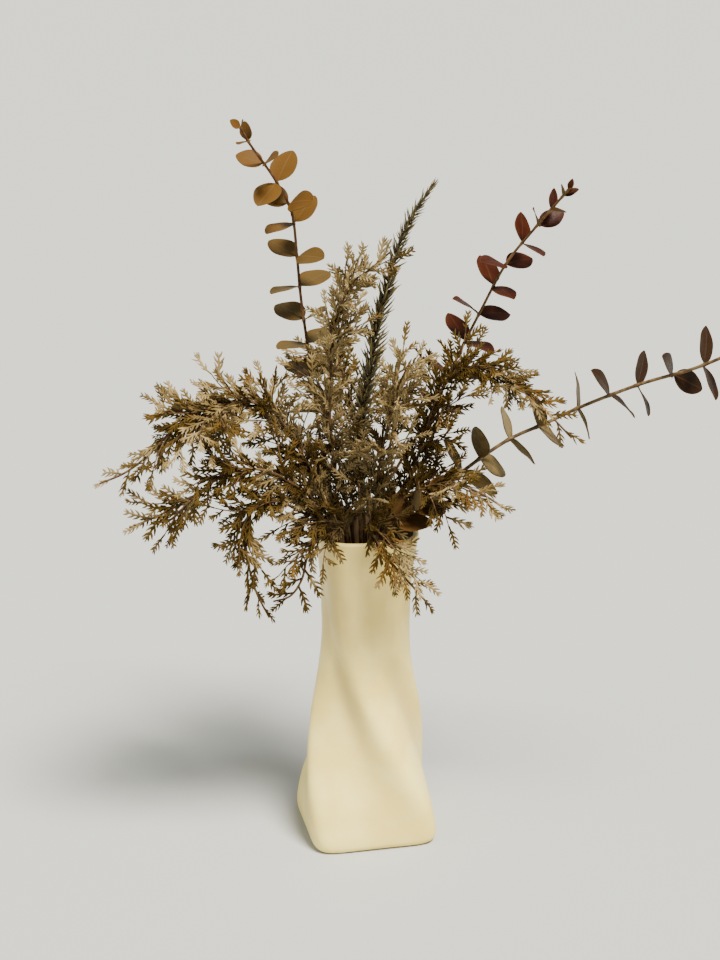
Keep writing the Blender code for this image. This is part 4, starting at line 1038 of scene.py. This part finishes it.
# The axis above the mouth, the listed tips of the fronds, and the gap between the inner fronds
SPRAYS = (
    dict(
        name="spray_left_high", mouth=(-0.015, -0.003), seed=21, pale=0.6, gap=0.0105,
        route=(
            (-0.03, -0.01, 0.265), (-0.04, -0.012, 0.284), (-0.052, -0.015, 0.305), (-0.062, -0.018, 0.322),
            (-0.076, -0.022, 0.331), (-0.092, -0.028, 0.332), (-0.108, -0.032, 0.329),
            (-0.122, -0.035, 0.323), (-0.136, -0.038, 0.311), (-0.15, -0.04, 0.297), (-0.164, -0.042, 0.287),
            (-0.181, -0.044, 0.28),
        ),
        tips=(
            (-0.14, -0.022, 0.341), (-0.114, -0.045, 0.352), (-0.109, -0.005, 0.337),
            (-0.095, -0.038, 0.353), (-0.08, -0.008, 0.348), (-0.059, -0.03, 0.353), (-0.138, -0.06, 0.336),
            (-0.137, -0.03, 0.287), (-0.144, -0.066, 0.287), (-0.12, -0.085, 0.303), (-0.105, -0.105, 0.318),
            (-0.085, -0.095, 0.327), (-0.097, 0.02, 0.299), (-0.123, 0.01, 0.294), (-0.112, -0.074, 0.318),
            (-0.117, -0.06, 0.301), (-0.098, -0.082, 0.299), (-0.09, -0.072, 0.313),
        ),
    ),
    dict(
        name="spray_left_low", mouth=(-0.013, -0.013), seed=22, pale=0.5, gap=0.013,
        route=(
            (-0.036, -0.024, 0.262), (-0.065, -0.04, 0.287), (-0.092, -0.05, 0.291), (-0.11, -0.055, 0.279),
            (-0.136, -0.058, 0.264), (-0.16, -0.06, 0.254),
        ),
        tips=(
            (-0.165, -0.04, 0.267), (-0.14, -0.072, 0.243), (-0.133, -0.045, 0.235), (-0.108, -0.072, 0.262),
            (-0.097, -0.042, 0.258), (-0.121, -0.095, 0.29), (-0.088, -0.085, 0.282),
        ),
    ),
    dict(
        name="spray_left_hanging", mouth=(-0.021, -0.011), seed=23, pale=0.35, gap=0.012,
        route=(
            (-0.043, -0.03, 0.254), (-0.063, -0.04, 0.267), (-0.077, -0.048, 0.262), (-0.082, -0.05, 0.249),
            (-0.081, -0.048, 0.226), (-0.076, -0.046, 0.203), (-0.067, -0.044, 0.182),
        ),
        tips=((-0.094, -0.04, 0.226), (-0.064, -0.054, 0.212), (-0.085, -0.066, 0.222)),
    ),
    dict(
        name="spray_rim_left", mouth=(-0.013, -0.022), seed=24, pale=0.4, gap=0.016,
        route=(
            (-0.022, -0.031, 0.2395), (-0.033, -0.041, 0.238), (-0.04, -0.046, 0.228),
            (-0.044, -0.048, 0.212), (-0.052, -0.046, 0.199), (-0.064, -0.044, 0.194),
        ),
        tips=(
            (-0.058, -0.038, 0.221), (-0.06, -0.062, 0.247), (-0.058, -0.04, 0.251), (-0.029, -0.064, 0.219),
            (-0.068, -0.06, 0.207),
        ),
    ),
    dict(
        name="spray_centre_tall", mouth=(-0.01, 0.004), seed=25, pale=1.0, gap=0.042,
        route=(
            (-0.02, -0.008, 0.271), (-0.024, -0.01, 0.307), (-0.025, -0.01, 0.331), (-0.024, -0.011, 0.358),
            (-0.021, -0.012, 0.384), (-0.014, -0.015, 0.404), (-0.007, -0.02, 0.416), (0.002, -0.026, 0.424),
            (0.016, -0.03, 0.437),
        ),
        tips=(
            (-0.056, -0.025, 0.345), (-0.052, 0.002, 0.356), (-0.029, -0.022, 0.405), (-0.008, 0.012, 0.329),
            (-0.007, -0.035, 0.371), (-0.003, 0.008, 0.387), (-0.013, -0.02, 0.435), (-0.003, -0.038, 0.441),
            (0.032, -0.034, 0.439), (-0.032, -0.045, 0.378), (-0.002, 0.002, 0.42),
        ),
    ),
    dict(
        name="spray_centre_pale", mouth=(0.006, -0.01), seed=26, pale=0.85, gap=0.02,
        route=((0.009, -0.026, 0.284), (0.015, -0.036, 0.32), (0.02, -0.046, 0.345), (0.028, -0.06, 0.368)),
        tips=(
            (0.028, -0.043, 0.393), (0.04, -0.062, 0.385), (0.051, -0.05, 0.367), (0.019, -0.08, 0.38),
            (0.025, -0.088, 0.355), (0.041, -0.07, 0.348), (0.004, -0.07, 0.316), (-0.011, -0.058, 0.309),
            (0.021, -0.085, 0.324),
        ),
    ),
    dict(
        name="spray_right_high", mouth=(0.012, 0.003), seed=27, pale=0.3, gap=0.018,
        route=(
            (0.03, -0.004, 0.27), (0.04, -0.01, 0.301), (0.048, -0.014, 0.33), (0.057, -0.018, 0.346),
            (0.069, -0.022, 0.355), (0.084, -0.028, 0.355), (0.102, -0.033, 0.346), (0.122, -0.037, 0.329),
            (0.139, -0.042, 0.312),
        ),
        tips=(
            (0.056, -0.035, 0.371), (0.079, -0.005, 0.376), (0.088, -0.032, 0.37), (0.103, -0.05, 0.356),
            (0.114, -0.015, 0.337), (0.122, -0.056, 0.333), (0.083, -0.062, 0.338), (0.064, -0.062, 0.335),
            (0.067, -0.05, 0.31), (0.09, 0.008, 0.335),
        ),
    ),
    dict(
        name="spray_right_low", mouth=(0.016, -0.01), seed=38, pale=0.45, gap=0.016,
        route=(
            (0.028, -0.022, 0.262), (0.044, -0.036, 0.276), (0.061, -0.045, 0.28), (0.078, -0.05, 0.275),
            (0.096, -0.052, 0.264),
        ),
        tips=(
            (0.091, -0.072, 0.266), (0.06, -0.058, 0.238), (0.049, -0.07, 0.258), (0.069, -0.07, 0.293),
            (0.088, -0.028, 0.268), (0.066, -0.022, 0.292),
        ),
    ),
    dict(
        name="spray_rim_front", mouth=(0.0, -0.022), seed=29, pale=0.45, gap=0.016,
        route=(
            (0.004, -0.032, 0.2395), (0.009, -0.042, 0.236), (0.015, -0.048, 0.228), (0.023, -0.052, 0.219),
            (0.032, -0.053, 0.209), (0.044, -0.052, 0.194),
        ),
        tips=(
            (0.049, -0.06, 0.207), (0.038, -0.062, 0.231), (0.019, -0.06, 0.209), (0.031, -0.074, 0.226),
            (0.001, -0.048, 0.268), (0.017, -0.042, 0.264),
        ),
    ),
    dict(
        name="spray_back", mouth=(-0.004, 0.021), seed=30, pale=0.4, gap=0.02,
        route=(
            (-0.006, 0.044, 0.276), (-0.01, 0.06, 0.308), (-0.018, 0.074, 0.328), (-0.034, 0.088, 0.336),
            (-0.052, 0.098, 0.33),
        ),
        tips=(
            (-0.03, 0.066, 0.356), (-0.058, 0.076, 0.342), (-0.03, 0.112, 0.328), (0.012, 0.086, 0.338),
            (0.028, 0.068, 0.316), (-0.052, 0.084, 0.304),
        ),
    ),
)


def bowed(start, heading, tip):
    """A centre line that leaves start along heading and bends to tip."""
    reach = (tip - start).length
    middle = start + heading * reach * FROND_BOW
    line = []
    for k in range(FROND_POINTS + 1):
        t = k / FROND_POINTS
        line.append(start * (1 - t) ** 2 + middle * (2 * t * (1 - t)) + tip * t ** 2)
    return line


def leaving_share(route, end, tip, reach):
    """Where a frond leaves its axis, so that its reach and its angle with the axis are the usual ones."""
    best = (math.inf, end)
    for k in range(FROND_LOWEST, 101):
        share = end * k / 100
        point, heading = at(route, share)
        if point.z < VASE_HEIGHT + LEAVE_ABOVE:
            continue
        away = tip - point
        score = abs(away.length - reach) / reach + abs(heading.angle(away) - FROND_LEAVE)
        best = min(best, (score, share))
    return best[1]


def lower_tips(route, end, rng, lowest=LOWER_START, step=LOWER_STEP, first_turn=0.0, skipped=0.0):
    """Tips of the fronds that clothe an axis down to the mouth, each a golden angle on from the last."""
    total = length_of(route)
    tips = []
    back = total * (1 - end) + skipped
    while back < total:
        point, heading = at(route, 1 - back / total)
        if point.z < VASE_HEIGHT + lowest:
            break
        outward = turned_out(heading, first_turn + GOLDEN_ANGLE * len(tips), (0, -1, 0))
        lean = LOWER_LEAN + rng.uniform(-LOWER_LEAN_SPREAD, LOWER_LEAN_SPREAD)
        reach = FROND_REACH * rng.uniform(*LOWER_REACHES)
        tips.append(point + (heading * math.cos(lean) + outward * math.sin(lean)) * reach)
        back += step
    return tips


def spray_strands(spray):
    """The axis of a spray and the ribs of its fronds, each with its radii and the way it faces."""
    rng = random.Random(spray["seed"])
    route = whole_route(spray["mouth"], spray["route"])
    end = 1 - END_FROND / length_of(route)
    last = round(end * (len(route) - 1))
    strands = [(route, tapered(AXIS_RADIUS, AXIS_TAPER, len(route)), (0, 0, 1), 0)]
    # The axis carries twigs of its own above the mouth
    clear = next(k for k, point in enumerate(route) if point.z > VASE_HEIGHT)
    line = route[clear:last]
    onward = (line[-1] - line[0]).normalized()
    face = across(onward, Vector(FROND_FACING))
    strands += [(line, [RIB_RADIUS] * len(line), side, 1) for side in (face, onward.cross(face))]
    lower = lower_tips(route, end, random.Random(spray["seed"] + LOWER_SEED))
    inner_rng = random.Random(spray["seed"] + INNER_SEED)
    inner = lower_tips(route, end, inner_rng, INNER_START, spray["gap"], INNER_TURN, INNER_END)
    for tip in [None, *spray["tips"], *lower, *inner]:
        facing = Vector(mean + rng.uniform(-d, d) for mean, d in zip(FROND_FACING, FACING_SPREAD))
        if tip is None:
            line = route[last:]
        else:
            start, heading = at(route, leaving_share(route, end, Vector(tip), FROND_REACH))
            line = bowed(start, heading, Vector(tip))
        line = line[:round(RIB_SHARE * len(line))]
        face = across((line[-1] - line[0]).normalized(), facing)
        strands.append((line, tapered(RIB_RADIUS, 1 - RIB_TAPER, len(line)), face, 1))
    return strands


def forked_strands(rng):
    """A twig one unit long, nearly flat: a bent rib with pointed prongs left and right."""
    bend = rng.uniform(-TWIG_BEND, TWIG_BEND)
    rise = rng.uniform(-TWIG_RISE, TWIG_RISE)

    def rib(along):
        return Vector((along, bend * math.sin(math.pi * along), rise * math.sin(TWIG_RISE_TURN * along)))

    last = len(TWIG_RIB_RADII) - 1
    strands = [([rib(k / last) for k in range(last + 1)], TWIG_RIB_RADII, (0, 0, 1), 0)]
    for place, usual, hand in [(place, usual, hand) for place, usual in PRONGS for hand in (-1, 1)]:
        half = usual * rng.uniform(*PRONG_REACHES) * 0.5
        lean = PRONG_LEAN * rng.uniform(*PRONG_LEANS) * hand
        lift = rng.uniform(-PRONG_LIFT, PRONG_LIFT)
        line = [rib(place + rng.uniform(-PRONG_STAGGER, PRONG_STAGGER))]
        for turn in (lean, lean * PRONG_CURL):
            line.append(line[-1] + Vector((math.cos(turn), math.sin(turn), lift)).normalized() * half)
        strands.append((line, PRONG_RADII, (0, 0, 1), 1))
    return strands


def twig_meshes(count):
    """Some forked twigs, each a set of thin tapered strands, with their reach from the root stored."""
    tree, given = new_tree("forked_twig", {"Sides": "Int", "Skin": "Material"})
    close_tree(tree, wooded(tree, curves_of(tree, given), given["Sides"], given["Skin"]))
    rng = random.Random(TWIG_SEED)
    meshes = []
    for k in range(count):
        mesh = grown_mesh(path_object(f"twig_{k}", forked_strands(rng)), tree, {"Sides": TWIG_SIDES})
        write_reach(mesh)
        meshes.append(mesh)
    return meshes


def feather_material(pale):
    """Dry feathery twigs: dark brown at the root, taupe along, golden here and there, with pale patches that
    are painted light and partly their own colour, and painted shade towards the arrangement's heart.
    """
    material, tree, shader, place = new_material(
        f"feathery_{round(pale * 100)}", specular_ior_level=0.12, roughness=0.72
    )
    gain = PALE_GAIN * pale
    # Painted light: pale patches where the masses' tops are lit, partly the twigs' own colour
    lit_pale_patches = patches(tree, place, *PALE_GRAIN, PALE_FROM - gain, PALE_FULL - gain)
    # Painted shade: darker towards the heart of the arrangement
    far = node(tree, "ShaderNodeVectorMath", {0: place, 1: HEART}, operation="DISTANCE").outputs["Value"]
    inner = times(tree, between(tree, far, *HEART_REACH), HEART_SHADE)
    toned = times(tree, between(tree, stored(tree, "tone"), *SHADED_TONES), TONE_SHADE)
    colour = layered(
        tree, FEATHER_DARK,
        (between(tree, stored(tree, "reach"), *TAUPE_REACH), FEATHER_TAUPE),
        (times(tree, lit_pale_patches, PALE_SHARE), FEATHER_PALE),
        (times(tree, patches(tree, place, *GOLD_PATCHES), GOLD_SHARE), FEATHER_GOLD),
        (calc(tree, "MAXIMUM", toned, inner), FEATHER_DARK),
    )
    finish_skin(tree, shader, colour, grain(tree, place, *FEATHER_SKIN), *FEATHER_RELIEF)
    return material


tree, given = new_tree("feathery_spray", {
    "Step": "Float", "Length": "Float", "Lean": "Float", "Seed": "Int",
    "Shapes": "Collection", "Bark": "Material", "Skin": "Material",
})
path = curves_of(tree, given)
kind = named(tree, "kind")
ribs = shaped(tree, "SeparateGeometry", {0: path, 1: kind}, domain="CURVE")
ribs = shaped(tree, "ResampleCurve", {"Curve": ribs, "Length": given["Step"]}, mode="LENGTH")
ribs = store(tree, ribs, "share", shaped(tree, "SplineParameter"))
ribs = store(tree, ribs, "heading", shaped(tree, "InputTangent"), "FLOAT_VECTOR")
seats = shaped(tree, "CurveToPoints", {"Curve": ribs}, mode="EVALUATED")
share = named(tree, "share")
heading = named(tree, "heading", "FLOAT_VECTOR")
face = named(tree, "face", "FLOAT_VECTOR")
hand = calc(tree, "MODULO", shaped(tree, "InputIndex"), 2.0)
hand = calc(tree, "MULTIPLY_ADD", hand, 2.0, -1.0)
side = node(tree, "ShaderNodeVectorMath", {0: face, 1: heading}, operation="CROSS_PRODUCT").outputs[0]
# The last twig of a frond runs on straight
open_share = calc(tree, "LESS_THAN", share, LAST_TWIG)
lean = times(tree, times(tree, given["Lean"], open_share), draw(tree, *TWIG_LEANS, given["Seed"], 1))
direction = leaning(tree, heading, scaled(tree, side, hand), lean)
direction = added(tree, direction, scaled(tree, face, draw(tree, *TWIG_LIFTS, given["Seed"], 2)))
profile = calc(tree, "MINIMUM", calc(tree, "MULTIPLY_ADD", share, *TWIG_GROWTH), 1.0)
fall = calc(tree, "MULTIPLY_ADD", calc(tree, "POWER", share, 3.0), TWIG_FALL, 1.0)
size = times(tree, times(tree, profile, fall), draw(tree, *TWIG_SIZES, given["Seed"], 3))
size = times(tree, size, given["Length"])
twigs = planted(tree, seats, given, standing(tree, direction, face), size)
close_tree(tree, wooded(tree, path, AXIS_SIDES, given["Bark"]), twigs)

twig_shapes = shape_set("twig_shape", twig_meshes(TWIG_SHAPES))
feather_bark = bark_material("feather_bark", FEATHER_BARK, FEATHER_BARK_PALE)
for spray in SPRAYS:
    grow(spray["name"] + "_feathery", spray_strands(spray), tree, {
        "Step": TWIG_STEP, "Length": TWIG_LENGTH, "Lean": TWIG_LEAN, "Seed": spray["seed"],
        "Shapes": twig_shapes, "Bark": feather_bark, "Skin": feather_material(spray["pale"]),
    }, spray["name"])


# The pale, dull floor that the vase stands on is not part of the arrangement.  It is one large flat sheet,
# a little uneven in its colour.
FLOOR_SIDE = 80.0
FLOOR_COLOUR = (0.425, 0.435, 0.405)
FLOOR_SHADE = (0.40, 0.41, 0.38)
FLOOR_UNEVEN = 0.06
FLOOR_GRAIN = 3
shape = bmesh.new()
bmesh.ops.create_grid(shape, x_segments=1, y_segments=1, size=FLOOR_SIDE / 2)
mesh = mesh_from(shape, "floor")
material, tree, shader, place = new_material("pale_floor", roughness=0.75)
colour = mixed(tree, times(tree, grain(tree, place, FLOOR_GRAIN), FLOOR_UNEVEN), FLOOR_COLOUR, FLOOR_SHADE)
tree.links.new(colour, shader.inputs["Base Color"])
mesh.materials.append(material)
floor = new_object("floor", mesh)


# Soft studio light: a broad key light high in front on the right, a weaker and broader one on the left, and
# a pale room.
KEY_FROM = (0.55, -0.75, 1.75)
KEY_STRENGTH = 10.8
KEY_BREADTH = math.radians(20)
KEY_COLOUR = (1.0, 0.96, 0.89)
FILL_FROM = (-1.2, -0.7, 1.1)
FILL_STRENGTH = 0.9
FILL_BREADTH = math.radians(40)
FILL_COLOUR = (0.97, 0.98, 1.0)
ROOM_COLOUR = (0.79, 0.81, 0.77)
ROOM_STRENGTH = 0.52


def lamp(name, source, strength, breadth, colour):
    """A lamp as broad as an angle of the sky, shining from source to the vase's foot."""
    light = bpy.data.lights.new(name, "SUN")
    light.energy = strength
    light.angle = breadth
    light.color = colour
    obj = new_object(name, light)
    obj.location = source
    obj.rotation_euler = Vector(source).to_track_quat("Z", "Y").to_euler()


lamp("key_light", KEY_FROM, KEY_STRENGTH, KEY_BREADTH, KEY_COLOUR)
lamp("fill_light", FILL_FROM, FILL_STRENGTH, FILL_BREADTH, FILL_COLOUR)
room = bpy.data.worlds.new("room")
bpy.context.scene.world = room
room.use_nodes = True
room.node_tree.nodes["Background"].inputs["Color"].default_value = (*ROOM_COLOUR, 1)
room.node_tree.nodes["Background"].inputs["Strength"].default_value = ROOM_STRENGTH


# The camera looks slightly down from in front, at the height and distance that the photograph gives.  Its
# lens takes in what the photograph does.
IMAGE_HEIGHT_PIXELS = 960
FOCAL_PIXELS = 2029
SENSOR_HEIGHT = 36.0
CAMERA_PLACE = (-0.00394, -1.35106, 0.7183)
CAMERA_DIP = math.radians(18.43)
lens = bpy.data.cameras.new("camera")
lens.sensor_fit = "VERTICAL"
lens.sensor_height = SENSOR_HEIGHT
lens.lens = FOCAL_PIXELS * SENSOR_HEIGHT / IMAGE_HEIGHT_PIXELS
camera = new_object("camera", lens)
camera.location = CAMERA_PLACE
camera.rotation_euler = (math.pi / 2 - CAMERA_DIP, 0, 0)
bpy.context.scene.camera = camera
